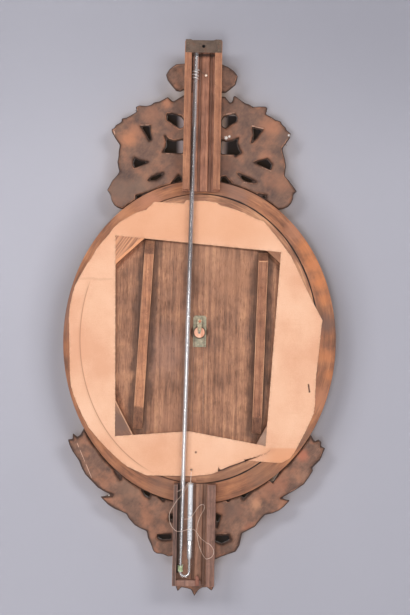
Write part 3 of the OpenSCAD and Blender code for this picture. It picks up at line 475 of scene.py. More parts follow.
CREST_PATCHES = [(136, -166, 19, tint(198, 130, 92), 0.72), (124, -150, 15, WARM, 0.45),
                 (66, -100, 13, WARM, 0.7), (95, -122, 22, tint(164, 110, 84), 0.5),
                 (-130, -142, 20, WARM, 0.6), (-152, -162, 15, tint(98, 76, 68), 0.8),
                 (-148, -245, 20, WARM, 0.4), (-118, -196, 18, WARM, 0.35),
                 (148, -262, 28, tint(120, 94, 80), 0.7), (112, -255, 24, tint(126, 100, 84), 0.6),
                 (40, -210, 18, tint(136, 92, 70), 0.5), (-46, -212, 16, tint(136, 92, 72), 0.5)]
APRON_PATCHES = [(-196, -745, 14, tint(186, 108, 80), 0.7),
                 (-112, -836, 13, tint(196, 140, 106), 0.8),
                 (-160, -772, 18, WARM, 0.4), (88, -868, 16, WARM, 0.5),
                 (120, -812, 28, tint(140, 106, 86), 0.6), (-150, -800, 24, RED_BROWN, 0.4),
                 (-100, -880, 12, tint(160, 100, 76), 0.5), (-70, -850, 22, tint(118, 88, 74), 0.7)]
STRONG = tint(208, 128, 78)
RING_PATCHES = [(-178, -330, 26, WARM, 0.8), (-196, -362, 22, STRONG, 0.7),
                (-210, -392, 22, STRONG, 0.8), (-221, -424, 20, STRONG, 0.8),
                (-230, -456, 15, STRONG, 0.55), (-236, -560, 18, STRONG, 0.5),
                (-243, -596, 14, STRONG, 0.45), (-238, -500, 24, tint(112, 82, 70), 0.7),
                (-214, -480, 18, tint(120, 84, 62), 0.7), (-226, -640, 26, WARM, 0.7),
                (-196, -710, 24, tint(128, 92, 72), 0.7), (96, -282, 34, WARM, 0.8),
                (140, -306, 26, tint(196, 132, 92), 0.6), (-60, -262, 50, tint(150, 108, 88), 0.7),
                (246, -480, 60, tint(134, 96, 80), 0.6), (60, -808, 40, tint(134, 98, 80), 0.5),
                (-120, -780, 40, tint(140, 102, 80), 0.5)]
INNER_PATCHES = [(150, -690, 44, tint(122, 90, 76), 0.95),
                 (-128, -716, 26, tint(168, 136, 116), 0.8),
                 (-60, -792, 60, tint(138, 96, 72), 0.5), (-120, -372, 40, tint(140, 92, 66), 0.7)]
PAPER_FOOT = [(60, -785.5), (12, -785.5), (-20, -781), (-45, -774), (-90, -756.5), (-140, -733.5)]
CREST_CHIPS = [(-44, -162, 4), (-50, -159, 3), (-160, -155, 3), (-88, -241, 1.5)]
# Lines (start, end, width) of painted highlight along edges of the carvings.
CREST_EDGE_HIGHLIGHTS = [((-40, -119), (-58, -115.5), 1.6), ((-92, -139), (-112, -143), 1.4),
                ((-78, -243), (-92, -245), 1.6), ((-37, -193), (-58, -194), 0.9),
                ((38, -193), (66, -193), 0.8), ((96, -140), (114, -141), 0.9),
                ((164, -147), (160, -164), 1.2), ((-112, -215), (-128, -221), 1.1)]
APRON_CHIPS = [(-200, -712, 2), (160, -826, 1.5)]
APRON_EDGE_HIGHLIGHTS = [((221, -728), (192, -794), 0.9), ((-44, -893), (-64, -892), 1.0)]


rail_finish = wood("rail_wood", RAIL, depth=0.4, specks=0.5)
# Bevel finishes are lighter: wear, and a painted highlight on the edges.
rail_edge = wood("rail_worn_edge", (tint(160, 108, 82), tint(214, 158, 122), tint(236, 190, 154)))
lower_rail_finish = wood("lower_rail_wood", LOWER_RAIL, depth=0.4, specks=0.3)
lower_left_finish = wood("lower_left_rail_wood",
                         (tint(50, 38, 33), tint(90, 67, 58), tint(126, 94, 81)), depth=0.4)
lower_edge = wood("lower_edge_wear_and_highlight", (tint(104, 76, 68), tint(158, 120, 106), tint(190, 150, 132)))
# Painted shade in the floors' grooves, near black behind the plate's hole, and painted shadows by
# the rails and under the plate.
floor_finish = wood("channel_floor_wood", FLOOR, depth=0.5, dark_from=25.2,
                    patches=[(0, 4, 8, tint(10, 8, 8), 1.0)],
                    shadows=[((21.4, 0), (21.2, -80), 1.2, 3.5, 0.85),
                             ((18, -12.5), (-18, -12.5), 1.5, 4, 0.9)])
lower_floor_finish = wood("lower_floor_wood",
                          (tint(84, 58, 46), tint(148, 106, 84), tint(188, 142, 114)), depth=0.5,
                          dark_from=25.2, shadows=[((31.2, -770), (31.2, -960), 1.8, 4, 1.0)])
board_finish = wood("dial_board_wood", BOARD, depth=0.6, scale=0.8,
                    shadows=[batten_line("batten_left"), batten_line("batten_right"),
                             (TUBE_TOP, TUBE_FOOT, 6, 14, 0.42)],
                    patches=[(40, -700, 60, tint(176, 124, 96), 0.5),
                             (-60, -420, 60, tint(184, 130, 98), 0.5),
                             (-10, -360, 70, tint(176, 128, 100), 0.4),
                             (60, -560, 60, tint(160, 120, 104), 0.4)])
board_edge = wood("dial_board_edge", (tint(96, 68, 54), tint(150, 108, 86), tint(204, 154, 122)))
# Battens: painted shade on sides and ends beyond dark_from; lighter bevels of wear and painted
# highlight.
left_batten = wood("left_batten_wood", LEFT_BATTEN, depth=0.5, dark_from=25.4, specks=0.4)
right_batten = wood("right_batten_wood", RIGHT_BATTEN, depth=0.5, dark_from=25.4, specks=0.4)
batten_edge = wood("batten_worn_edge", BATTEN_EDGE, dark_from=25.8)
crest_finish = carved_wood("crest_wood", CARVING, CREST_PATCHES, CREST_CHIPS, CREST_EDGE_HIGHLIGHTS, 0.36)
apron_finish = carved_wood("apron_wood", (tint(90, 66, 55), tint(123, 89, 72), tint(152, 110, 88)),
                           APRON_PATCHES, APRON_CHIPS, APRON_EDGE_HIGHLIGHTS)
gilt_finish = gilt("old_gilding")
ring_finish = ring_wood("ring_wood", RING, RING_PATCHES, OUTER, JOINT)
inner_finish = ring_wood("inner_ring_wood", INNER_RING, INNER_PATCHES, JOINT, JOINT, saw_marks,
                         PAPER_FOOT)


def metal(name, shades, metallic, rough, tarnish=None, amount=0.5, depth=0.1, size=6,
          grime_and_shadow=None):
    """Old metal, with blotches of tarnish and one round patch (x, z, radius) of painted shadow."""
    f = Finish(name)
    dark, middle, light = shades
    tone = f.cloud(size, 5) * 0.7 + f.cloud(size / 5, 4) * 0.3
    colour = f.ramp(tone, (0.38, dark), (0.5, middle), (0.64, light))
    clean_and_glint = 1.0
    if tarnish:
        spread = f.step(f.cloud(size * 0.8, 6, rough=0.7), 0.62 - 0.2 * amount, 0.68 - 0.2 * amount)
        colour = f.mix(spread * 0.85, colour, tarnish)
        clean_and_glint = 1 - spread * 0.8
    # Painted shadow: a dark round patch, as where the pulley shades the brass plate.
    if grime_and_shadow:
        colour = f.mix(f.near(*grime_and_shadow, 0.1, 0.1) * 0.75, colour, tint(62, 48, 34))
    return f.put(Base_Color=colour, Metallic=clean_and_glint * metallic if tarnish else metallic,
                 Roughness=f.cloud(size / 2, 3) * 0.3 + (rough - 0.15),
                 Normal=f.bump(f.cloud(size / 4, 4), depth))


def tie_wire():
    """Wire painted near white on the tube as a painted glint, and dark brown on its run to the nail
    as painted shade.
    """
    shades = (tint(214, 206, 194), tint(240, 236, 230), tint(252, 250, 246))
    f = metal("tie_wire_metal", shades, 0.35, 0.32, None, 0, 0.02, 3)
    # Painted glint on the coils round the tube, painted shade on the run to the nail.
    clean_and_glint = f.step(f.axis("X"), 6, 9)
    return f.put(Base_Color=f.mix(clean_and_glint, tint(104, 78, 62), tint(252, 248, 242)))


iron_finish = metal("old_iron", (tint(76, 60, 49), tint(95, 76, 63), tint(112, 91, 77)),
                    0.3, 0.62, tint(104, 72, 54), 0.3, 0.1, 14)
nail_finish = metal("nail_iron", (tint(58, 46, 38), tint(94, 80, 66), tint(140, 124, 100)),
                    0.6, 0.5, tint(96, 62, 44), 0.5, 0.2, 2)
# The brass plate has a painted shadow round the pulley at PIVOT.
brass_finish = metal("old_brass", (tint(126, 116, 96), tint(156, 146, 122), tint(188, 174, 148)),
                     0.25, 0.6, tint(140, 142, 118), 0.5, 0.12, 6, (*PIVOT, 17))
cock_finish = metal("cock_brass", (tint(132, 118, 94), tint(164, 148, 120), tint(192, 176, 146)),
                    0.4, 0.5, tint(142, 136, 112), 0.4, 0.1, 4)
screw_finish = metal("screw_metal", (tint(110, 62, 44), tint(168, 104, 78), tint(204, 150, 118)),
                     0.7, 0.45, None, 0, 0.1, 2)
# The wire's nail has near-white shades: a painted glint.
nail_glint = metal("tie_nail_metal", (tint(150, 118, 98), tint(216, 190, 168), tint(252, 244, 234)),
                   0.3, 0.4, None, 0, 0.1, 3)
wire_finish = tie_wire()
steel_finish = metal("blued_steel", (tint(34, 40, 62), tint(52, 62, 92), tint(84, 98, 128)),
                     0.9, 0.32, None, 0, 0.05, 14)
boxwood_finish = wood("boxwood", (tint(214, 140, 108), tint(250, 190, 158), tint(255, 216, 188)),
                      depth=0.1, scale=0.5)
wedge_finish = wood("red_wood", (tint(96, 56, 44), tint(146, 92, 74), tint(190, 132, 108)),
                    scale=0.6)


def glass_finish(name, tone, rough, clear=1.0, upper_shade_tone=None):
    """Glass, with a darker tone on its upper part if one is given, painted shade that dims the
    reflections there.
    """
    f = Finish(name)
    if upper_shade_tone:
        # Painted shade: the upper part is darker, which dims the reflections seen in it.
        tone = f.mix(f.step(f.axis("Z"), -500, -360), tone, upper_shade_tone)
    dust = f.step(f.cloud(9, 5), 0.52, 0.75)
    return f.put(Base_Color=tone, Transmission_Weight=clear, IOR=1.47,
                 Roughness=dust * 0.02 + rough)


tube_glass = glass_finish("tube_glass", (0.96, 0.94, 0.93, 1), 0.0, 0.85, (0.54, 0.50, 0.49, 1))
arm_glass = Finish("open_arm_glass")
arm_glass.put(Base_Color=(0.86, 0.88, 0.9, 1), Alpha=0.18, Roughness=0.06)
dial_glass = glass_finish("dial_glass", (0.98, 0.99, 0.98, 1), 0.0)


def mercury_finish():
    f = Finish("mercury")
    tone = f.ramp(f.cloud(16, 2), (0.3, (0.84, 0.83, 0.82, 1)), (0.7, (0.92, 0.91, 0.90, 1)))
    # Painted shade: the mercury is darker above, which dims its reflection there.
    tone = f.mix(f.step(f.axis("Z"), -500, -360) * 0.9, tone, (0.40, 0.39, 0.39, 1))
    return f.put(Base_Color=tone, Metallic=1.0, Roughness=0.24)


def thread_finish(name, shades, dark_above=None):
    """Twisted thread, darker above a height if one is given."""
    f = Finish(name)
    twist = f.node("TexWave", {"bands_direction": "DIAGONAL"},
                   {"Vector": f.place, "Scale": 500.0, "Distortion": 2.0})
    colour = f.ramp(f.cloud(5, 4), (0.36, shades[0]), (0.64, shades[1]))
    if dark_above:
        colour = f.mix(f.step(f.axis("Z"), dark_above, dark_above + 8), colour, tint(116, 80, 62))
    return f.put(Base_Color=f.mix(twist * 0.25, colour, shades[0]), Roughness=0.85,
                 Normal=f.bump(twist, 0.08))


def stain():
    """The grey metal film that old mercury leaves inside an open arm."""
    f = Finish("mercury_stain")
    patchy = f.between(f.axis("Z") + (f.cloud(20, 3) - 0.5) * 30, -892, -842, 6)
    grey = f.step(f.cloud(3.5, 5, rough=0.65), 0.46, 0.6) * (patchy * 0.5 + 0.2)
    tone = f.mix(grey, tint(250, 250, 252), tint(130, 126, 126))
    cover = f.step(f.cloud(7, 5, (1, 1, 0.5), rough=0.65), 0.30, 0.46)
    return f.put(Base_Color=tone, Metallic=0.0, Roughness=0.4, Alpha=cover * 0.4 + 0.58)


mercury = mercury_finish()
stain_finish = stain()
pale_thread = thread_finish("pale_thread", (tint(228, 190, 166), tint(255, 238, 222)))
working_finish = thread_finish("working_thread", (tint(246, 232, 222), tint(255, 250, 244)), -766)
green_thread = thread_finish("green_thread", (tint(204, 228, 168), tint(244, 254, 222)))
print_finish = thread_finish("dial_ink", (tint(34, 30, 30), tint(58, 52, 50)))


# Pieces
def to_mesh(name, bm):
    mesh = bpy.data.meshes.new(name)
    bm.to_mesh(mesh)
    bm.free()
    return mesh


def settle(name, shape, finishes, stands_for=(), smooth=35, body="case"):
    """Makes a mesh, or a bmesh with its faces turned outward, a finished piece of a body."""
    mesh = shape
    if isinstance(shape, bmesh.types.BMesh):
        bmesh.ops.recalc_face_normals(shape, faces=shape.faces)
        mesh = to_mesh(name, shape)
    piece = bpy.data.objects.new(name, mesh)
    bpy.context.scene.collection.objects.link(piece)
    for finish in finishes:
        mesh.materials.append(finish.material)
    mesh.shade_smooth()
    mesh.set_sharp_from_angle(angle=radians(smooth))
    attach(piece, body)
    if stands_for:
        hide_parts(*stands_for)


def from_cad(node):
    """A node's own shape as a bmesh with its doubled corners joined."""
    bm = bmesh.new()
    bm.from_mesh(nodes[node].data)
    bmesh.ops.remove_doubles(bm, verts=bm.verts, dist=1e-6)
    return bm


def sharp_edges(bm):
    return [e for e in bm.edges if len(e.link_faces) == 2 and e.calc_face_angle() > radians(30)]


def thicken(bm, faces, back):
    """Gives a sheet a second skin this far nearer the wall, with a rim between the two."""
    for part in bmesh.ops.extrude_face_region(bm, geom=faces, use_keep_orig=True)["geom"]:
        if isinstance(part, bmesh.types.BMVert):
            part.co.y += back * MM


def roughen(bm, amount, size):
    """Moves each vertex a little, by noise, so that nothing is machine straight."""
    for v in bm.verts:
        v.co += noise.noise_vector(v.co / (size * MM)) * amount * MM


def worked_copy(node, name, finishes, edge, wander=0.0, spacing=0, body="case"):
    """A node's shape with softened edges and a hand-made unevenness, cut across its length."""
    bm = from_cad(node)
    bmesh.ops.dissolve_limit(bm, angle_limit=radians(2), verts=bm.verts, edges=bm.edges)
    bmesh.ops.bevel(bm, geom=sharp_edges(bm), offset=edge * MM, offset_type="OFFSET",
                    segments=2, profile=0.5, affect="EDGES", clamp_overlap=True,
                    material=len(finishes) - 1 if len(finishes) > 1 else -1)
    if spacing:
        low = min(v.co.z for v in bm.verts) / MM
        high = max(v.co.z for v in bm.verts) / MM
        up = Vector((0, 0, 1))
        for k in range(1, int((high - low) / spacing)):
            bmesh.ops.bisect_plane(bm, geom=bm.verts[:] + bm.edges[:] + bm.faces[:],
                                   plane_co=up * (low + k * spacing) * MM, plane_no=up, dist=1e-6)
    if wander:
        roughen(bm, wander, 30)
    bmesh.ops.triangulate(bm, faces=bm.faces)
    settle(name, bm, finishes, [node], body=body)


def curve_of(name, points, radius, rounding, smooth=True):
    """A round rod or thread along points, as a curve with closed ends."""
    curve = bpy.data.curves.new(name, "CURVE")
    curve.dimensions = "3D"
    spline = curve.splines.new("NURBS" if smooth else "POLY")
    spline.points.add(len(points) - 1)
    for point, place in zip(spline.points, points):
        point.co = (*place, 1)
    if smooth:
        spline.use_endpoint_u = True
        spline.order_u = 3
        spline.resolution_u = 4
    curve.bevel_depth = radius
    curve.bevel_resolution = rounding
    curve.use_fill_caps = True
    return curve


def rod(points, radius, rounding=3, taper=None):
    """A round rod along points as a mesh, with its thickness from a taper if one is given."""
    curve = curve_of("rod", points, radius, rounding)
    if taper:
        for i, point in enumerate(curve.splines[0].points):
            point.radius = taper(i / (len(points) - 1))
    made = bpy.data.objects.new("rod", curve)
    mesh = bpy.data.meshes.new_from_object(made)
    bpy.data.objects.remove(made)
    bpy.data.curves.remove(curve)
    return mesh


def add_mesh(bm, mesh):
    bm.from_mesh(mesh)
    bpy.data.meshes.remove(mesh)


# The outline of a flat node, as the edges of its back face
class Outline:
    """The edges round a node's flat back, for distances to them in millimetres."""

    def __init__(self, node, depth):
        bm = from_cad(node)
        bmesh.ops.dissolve_limit(bm, angle_limit=radians(1), verts=bm.verts, edges=bm.edges)
        rows = []
        for e in bm.edges:
            at_depth = all(abs(-v.co.y / MM - depth) < 0.01 for v in e.verts)
            backs = sum(f.normal.y > 0.9 for f in e.link_faces)
            if at_depth and backs == 1:
                a, b = (v.co / MM for v in e.verts)
                rows.append((a.x, a.z, b.x, b.z))
        bm.free()
        self.rows = np.array(rows)

    def nearest(self, points):
        """Signed distance, positive inside, and the nearest edge point of each point."""
        away = np.full(len(points), 1e9)
        where = np.zeros((len(points), 2))
        inside = np.zeros(len(points), bool)
        for ax, az, bx, bz in self.rows:
            run = np.array([bx - ax, bz - az])
            share = np.clip(((points - [ax, az]) @ run) / (run @ run), 0, 1)
            foot = np.array([ax, az]) + share[:, None] * run
            gap = np.hypot(*(points - foot).T)
            closer = gap < away
            away[closer] = gap[closer]
            where[closer] = foot[closer]
            if az != bz:
                spans = (points[:, 1] > min(az, bz)) & (points[:, 1] <= max(az, bz))
                cross = ax + (points[:, 1] - az) * (bx - ax) / (bz - az)
                inside ^= spans & (points[:, 0] < cross)
        return np.where(inside, away, -away), where

    def outer_points(self):
        """The corners of the outermost loop, in order."""
        ends = {}
        for ax, az, bx, bz in self.rows.round(3):
            ends.setdefault((ax, az), []).append((bx, bz))
            ends.setdefault((bx, bz), []).append((ax, az))
        start = max(ends)
        loop, last, here = [start], start, ends[start][0]
        while here != start and len(loop) <= len(ends):
            loop.append(here)
            ahead = [p for p in ends[here] if p != last]
            last, here = here, (ahead or [start])[0]
        return loop


def coordinates(mesh):
    flat = np.empty(len(mesh.vertices) * 3)
    mesh.vertices.foreach_get("co", flat)
    return flat.reshape(-1, 3) / MM


def set_coordinates(mesh, places):
    mesh.vertices.foreach_set("co", (places * MM).ravel())
    mesh.update()


def remeshed(mesh, voxel):
    """The mesh rebuilt of small even faces."""
    made = bpy.data.objects.new("remesh", mesh)
    bpy.context.scene.collection.objects.link(made)
    change = made.modifiers.new("even", "REMESH")
    change.mode = "VOXEL"
    change.voxel_size = voxel * MM
    smooth = made.modifiers.new("smooth", "SMOOTH")
    smooth.factor = 0.5
    smooth.iterations = 2
    view = bpy.context.evaluated_depsgraph_get()
    result = bpy.data.meshes.new_from_object(made.evaluated_get(view))
    bpy.data.objects.remove(made)
    return result


# Carvings: depths of their back and face, and how far in and how deep the cut edges slope
CARVED_BACK, CARVED_FACE = 40, 58
SLOPE_W = 4.5
SLOPE_D = 7
VOXEL = 1.6


def sculpted(node, thickness, slope_w=SLOPE_W, slope_d=SLOPE_D):
    """A carving's slab with uneven sloping back edges, a soft front and a wavy back."""
    outline = Outline(node, CARVED_BACK)
    mesh = remeshed(to_mesh(node, from_cad(node)), VOXEL)
    places = coordinates(mesh)
    depth = -places[:, 1]
    gap, _ = outline.nearest(places[:, [0, 2]])
    inner = np.clip(gap, 0, None)
    share = np.clip((depth - CARVED_BACK) / thickness, 0, 1)
    uneven = np.array([0.9 + 0.8 * noise.noise(Vector(p) / 26) for p in places])
    back = slope_d * np.clip(1 - inner / (slope_w * uneven), 0, 1) ** 1.5 * (1 - share)
    front = 6 * np.clip(1 - inner / 7, 0, 1) ** 2 * share
    wave = np.array([noise.noise(Vector(p) / 24) * 0.7 + noise.noise(Vector(p) / 7) * 0.25
                     for p in places])
    depth = depth + back - front + (wave + 0.5) * (1 - share) * (inner > 0.5)
    places[:, 1] = -depth
    set_coordinates(mesh, places)
    rim = mesh.attributes.new("rim", "FLOAT", "POINT")
    rim.data.foreach_set("value", (inner * MM).astype(np.float32))
    return mesh, outline


LEAF_STEPS = 12
LEAF_ACROSS = 6
LEAF_T = 3.0


def add_leaf(bm, outline, base, tip, width, depth, rise, bow=0.0, spare=0.2):
    """A carved leaf that is never wider than the wood under it, or none without room."""
    base, tip = Vector(base), Vector(tip)
    run = tip - base
    side = Vector((-run.y, run.x)).normalized()

    def middle(u):
        return base + run * u + side * bow * sin(pi * u)

    steps = [i / LEAF_STEPS for i in range(LEAF_STEPS + 1)]
    rooms = [99.0] * len(steps)
    if outline:
        rooms = outline.nearest(np.array([middle(u) for u in steps]))[0]
        if min(rooms[:-2]) < 0.5:
            return
    shape = bmesh.ops.create_grid(bm, x_segments=LEAF_ACROSS, y_segments=LEAF_STEPS, size=0.5)
    for v in shape["verts"]:
        u = min(max(v.co.y + 0.5, 0), 1)
        w = v.co.x * 2
        wide = width / 2 * (sin(pi * u ** 0.8) ** 0.8 * 0.92 + 0.08 * (1 - u))
        wide = min(wide, max(rooms[round(u * LEAF_STEPS)], 0) + spare)
        wave = 1 + 0.10 * sin(u * 26)
        at = middle(u) + side * w * wide * wave
        hump = sin(pi * min(u * 0.9 + 0.1, 1)) ** 0.7
        rib = exp(-(w / 0.18) ** 2)
        veins = 0.35 * sin(u * 34 + abs(w) * 5) * (1 - rib) * hump
        height = rise * hump * (1 - w * w * 0.9) - rib * 0.9 * hump + veins
        v.co = mm(at.x, depth + height, at.y)
    faces = list(dict.fromkeys(f for v in shape["verts"] for f in v.link_faces))
    thicken(bm, faces, LEAF_T)


def add_ball(bm, x, depth, z, radius, flat=1.0):
    """A ball of the carving, flattened from front to back if asked."""
    made = bmesh.ops.create_icosphere(bm, subdivisions=2, radius=radius * MM)
    for v in made["verts"]:
        v.co = mm(x, depth, z) + Vector((v.co.x, v.co.y * flat, v.co.z))


def add_rosette(bm, x, z, depth, radius, petals=8):
    """A flower of two rings of leaves round a button."""
    for ring, size in ((0, 1.0), (1, 0.62)):
        for k in range(petals):
            a = 2 * pi * (k + ring / 2) / petals
            out = Vector((cos(a), sin(a)))
            centre = Vector((x, z))
            add_leaf(bm, None, centre + out * radius * 0.12, centre + out * radius * size,
                     radius * size * 0.78, depth + 1 + ring * 2.2, 3.4)
    add_ball(bm, x, depth + 6, z, radius * 0.24, 0.8)


def point_along(path, share):
    """The point at a share of a path's length, and the heading there."""
    steps = [(Vector(b) - Vector(a)).length for a, b in zip(path, path[1:])]
    left = share * sum(steps)
    for a, b, step in zip(path, path[1:], steps):
        if left <= step:
            break
        left -= step
    heading = (Vector(b) - Vector(a)).normalized()
    return Vector(a) + heading * min(left, step), heading


def add_branch(bm, outline, path, tips, face, leaf_w):
    """A stem with one leaf to each tip of the edge, and smaller leaves over them."""
    total = sum((Vector(b) - Vector(a)).length for a, b in zip(path, path[1:]))
    marks = [point_along(path, k / 60) for k in range(61)]

    def root_of(tip):
        best = min(range(61), key=lambda k: (marks[k][0] - tip).length)
        back = (marks[best][0] - tip).length * 0.75 / total * 60
        return marks[max(0, int(best - back))][0]

    for k, tip in enumerate(tips):
        tip = Vector(tip)
        root = root_of(tip)
        length = (tip - root).length
        add_leaf(bm, outline, root, tip, min(leaf_w, length * 0.46), face - 1 - (k % 2), 5.5,
                 4 if k % 2 else -4)
    count = int(total / 13)
    for k in range(count):
        for side in (1, -1):
            root, heading = point_along(path, (k + 0.25 + 0.25 * side) / count)
            lean = heading * 0.8 + Vector((-heading.y, heading.x)) * side * 0.75
            add_leaf(bm, outline, root, root + lean.normalized() * 30, leaf_w * 0.72,
                     face + 1.5 + 0.8 * (k % 2), 4.5, 2 * side, 0.5)
    stem = rod([mm(p[0], face + 1.5, p[1]) for p in path], 3.6 * MM,
               taper=lambda u: 1.1 - 0.6 * u)
    add_mesh(bm, stem)
    for k in range(1, count, 3):
        root, heading = point_along(path, k / count)
        for j, (dx, dz) in enumerate(((0, 0), (5, 2.5), (1.5, 6))):
            add_ball(bm, root.x + dx, face + 6.5 - 0.5 * j, root.y + dz, 3.3)


def edge_tips(outline, path, reach_out=1.2):
    """Corners of the outer edge that stand further from the stem than their neighbours."""
    loop = outline.outer_points()
    marks = [point_along(path, k / 40)[0] for k in range(41)]

    def away(p):
        return min((Vector(p) - m).length for m in marks)

    far = [away(p) for p in loop]
    found = []
    for k, p in enumerate(loop):
        before, after = far[k - 1], far[(k + 1) % len(loop)]
        if far[k] > before + reach_out / 3 and far[k] > after + reach_out / 3 and far[k] < 85:
            found.append(p)
    return found


def flipped(path):
    return [(-x, z) for x, z in path]


CREST_STEM = [(30, -92), (66, -112), (104, -126), (132, -150), (138, -182), (140, -214),
              (146, -250)]
CREST_LOW_STEM = [(28, -214), (60, -214), (92, -224), (124, -246), (150, -272)]
APRON_STEM = [(20, -925), (56, -918), (74, -908), (84, -884), (106, -862), (134, -836),
              (170, -796), (204, -758), (222, -728)]


def make_crest():
    mesh, outline = sculpted("crest_carving", 18)
    settle("crest_slab", mesh, [crest_finish], ["crest_carving"], 60)
    bm = bmesh.new()
    face = CARVED_FACE
    for path in (CREST_STEM, CREST_LOW_STEM):
        for way in (path, flipped(path)):
            sign = 1 if way is path else -1
            tips = [p for p in edge_tips(outline, way) if p[0] * sign > 20]
            if path is CREST_LOW_STEM:
                tips = [p for p in tips if -285 < p[1] < -232]
            else:
                tips = [p for p in tips if p[1] > -240]
            add_branch(bm, outline, way, tips, face, 21)
    add_rosette(bm, 0, -150, face + 6, 21, 8)
    add_rosette(bm, 0, -205, face + 6, 17, 7)
    for x in (-14, 14):
        add_mesh(bm, rod([mm(x * 0.2, face + 4, -60), mm(x, face + 5, -84),
                          mm(x * 0.6, face + 3, -104), mm(x * 1.4, face + 5, -128)],
                         5 * MM, 2, lambda u: 1.1 - 0.5 * u))
    settle("crest_leaves", bm, [crest_finish], smooth=50)


def make_crest_top():
    """Two lobes of a ribbon bow: hollowed loops in front, rounded and creased behind."""
    mesh, outline = sculpted("crest_top", 18, 6, 5)
    places = coordinates(mesh)
    for sign in (1, -1):
        creases = (((64, -52), (52, -63), (36, -66)), ((30, -32), (50, -38), (60, -46)))
        for crease in creases:
            for start, end in zip(crease, crease[1:]):
                a = np.array([start[0] * sign, start[1]], float)
                run = np.array([(end[0] - start[0]) * sign, end[1] - start[1]], float)
                flat = places[:, [0, 2]]
                share = np.clip(((flat - a) @ run) / (run @ run), 0, 1)
                gap = np.hypot(*(flat - a - share[:, None] * run).T)
                behind = np.clip((50 + places[:, 1]) / 10, 0, 1)
                places[:, 1] -= 1.6 * np.exp(-(gap / 2.6) ** 2) * behind
    set_coordinates(mesh, places)
    settle("crest_bow", mesh, [apron_finish], ["crest_top"], 60)
    bm = bmesh.new()
    for sign in (1, -1):
        for size, depth, thick in ((1.0, 59, 5.5), (0.58, 61, 4)):
            path = []
            for k in range(25):
                a = 2 * pi * k / 24
                path.append(mm(sign * (38 + 18 * size * cos(a)), depth + 1.5 * sin(2 * a),
                               -52 + 15 * size * sin(a)))
            add_mesh(bm, rod(path, thick * MM))
    add_ball(bm, 0, 62, -52, 13, 0.6)
    add_mesh(bm, rod([mm(-15, 62, -44), mm(-4, 68, -52), mm(2, 68, -53), mm(15, 62, -61)],
                     5 * MM, 2))
    settle("crest_ribbon", bm, [gilt_finish], smooth=50)


def make_apron():
    mesh, outline = sculpted("apron_carving", 18, 6.5, 8)
    settle("apron_slab", mesh, [apron_finish], ["apron_carving"], 60)
    bm = bmesh.new()
    face = CARVED_FACE
    for way in (APRON_STEM, flipped(APRON_STEM)):
        sign = 1 if way is APRON_STEM else -1
        tips = [p for p in edge_tips(outline, way) if p[0] * sign > 30]
        add_branch(bm, outline, way, tips, face, 22)
    add_rosette(bm, 0, -890, face + 6, 25, 9)
    settle("apron_leaves", bm, [apron_finish], smooth=50)


def make_pendant():
    mesh, outline = sculpted("apron_pendant", 14, 4, 6)
    settle("pendant_slab", mesh, [apron_finish], ["apron_pendant"], 60)
    bm = bmesh.new()
    for x, foot, wide in ((-1, -1007, 20), (19, -992, 17), (-20, -991, 17), (9, -994, 16),
                          (-11, -994, 16), (30, -1000, 12), (-33, -998, 12)):
        add_leaf(bm, outline, (x * 0.3, -946), (x, foot), wide, 54, 6, 0, 1)
    for k in range(5):
        add_ball(bm, -1 + 3.2 * sin(k * 2.4), 62 - k * 0.4, -958 - k * 7, 4.4 - 0.4 * k)
    settle("pendant_leaves", bm, [apron_finish], smooth=50)


# Rings
def swept_ring(profile, inner, outer, steps, carve):
    """A ring between two ovals from (share, depth) points, spun and then fitted."""
    bm = bmesh.new()
    line = [bm.verts.new((1 + share, -depth * MM, 0)) for share, depth in profile]
    edges = [bm.edges.new((a, b)) for a, b in zip(line, line[1:] + line[:1])]
    bmesh.ops.spin(bm, geom=line + edges, cent=(0, 0, 0), axis=(0, 1, 0), angle=2 * pi,
                   steps=steps, use_merge=True)
    bmesh.ops.remove_doubles(bm, verts=bm.verts, dist=1e-6)
    for v in bm.verts:
        angle = atan2(v.co.z, v.co.x)
        share = hypot(v.co.x, v.co.z) - 1
        place = on_oval(inner, angle) * (1 - share) + on_oval(outer, angle) * share
        depth = -v.co.y / MM
        depth += carve(angle, share, depth)
        v.co = mm(place.x, depth, place.y)
    return bm


RING_STEPS, SIGHT_STEPS = 1008, 960
LEAF_REPEATS = 84
LEAF_FROM, LEAF_LONG = 0.56, 0.30
LOBE_REPEATS, EDGE_REPEATS = 120, 160
GILT_FROM = 60.5


def leaf_and_dart(angle, share, depth):
    """Carved leaves round the sloping outer part of the moulding."""
    if not LEAF_FROM < share < LEAF_FROM + LEAF_LONG or depth < LIP_BACK:
        return 0.0
    across = (share - LEAF_FROM) / LEAF_LONG
    turn = angle / (2 * pi) * LEAF_REPEATS
    place = turn - floor(turn) - 0.5
    wide = 0.44 * sqrt(max(1 - across * across, 0)) + 0.04
    inside = 1 - min(abs(place) / wide, 1)
    fade = min(across * 6, (1 - across) * 6, 1)
    rib = exp(-(place / 0.05) ** 2)
    dart = exp(-((abs(place) - 0.5) / 0.06) ** 2)
    return (2.6 * inside ** 0.5 - 1.0 * rib + 1.6 * dart - 1.2) * fade


def ring_relief(angle, share, depth):
    """Leaves in front, and a saw-cut back that isn't quite flat."""
    if depth > RING_BACK + 1:
        return leaf_and_dart(angle, share, depth)
    inward = 0.15 if share < 0.4 else 0.5
    return inward * noise.noise(Vector((cos(angle) * 9, sin(angle) * 9, share * 2)))


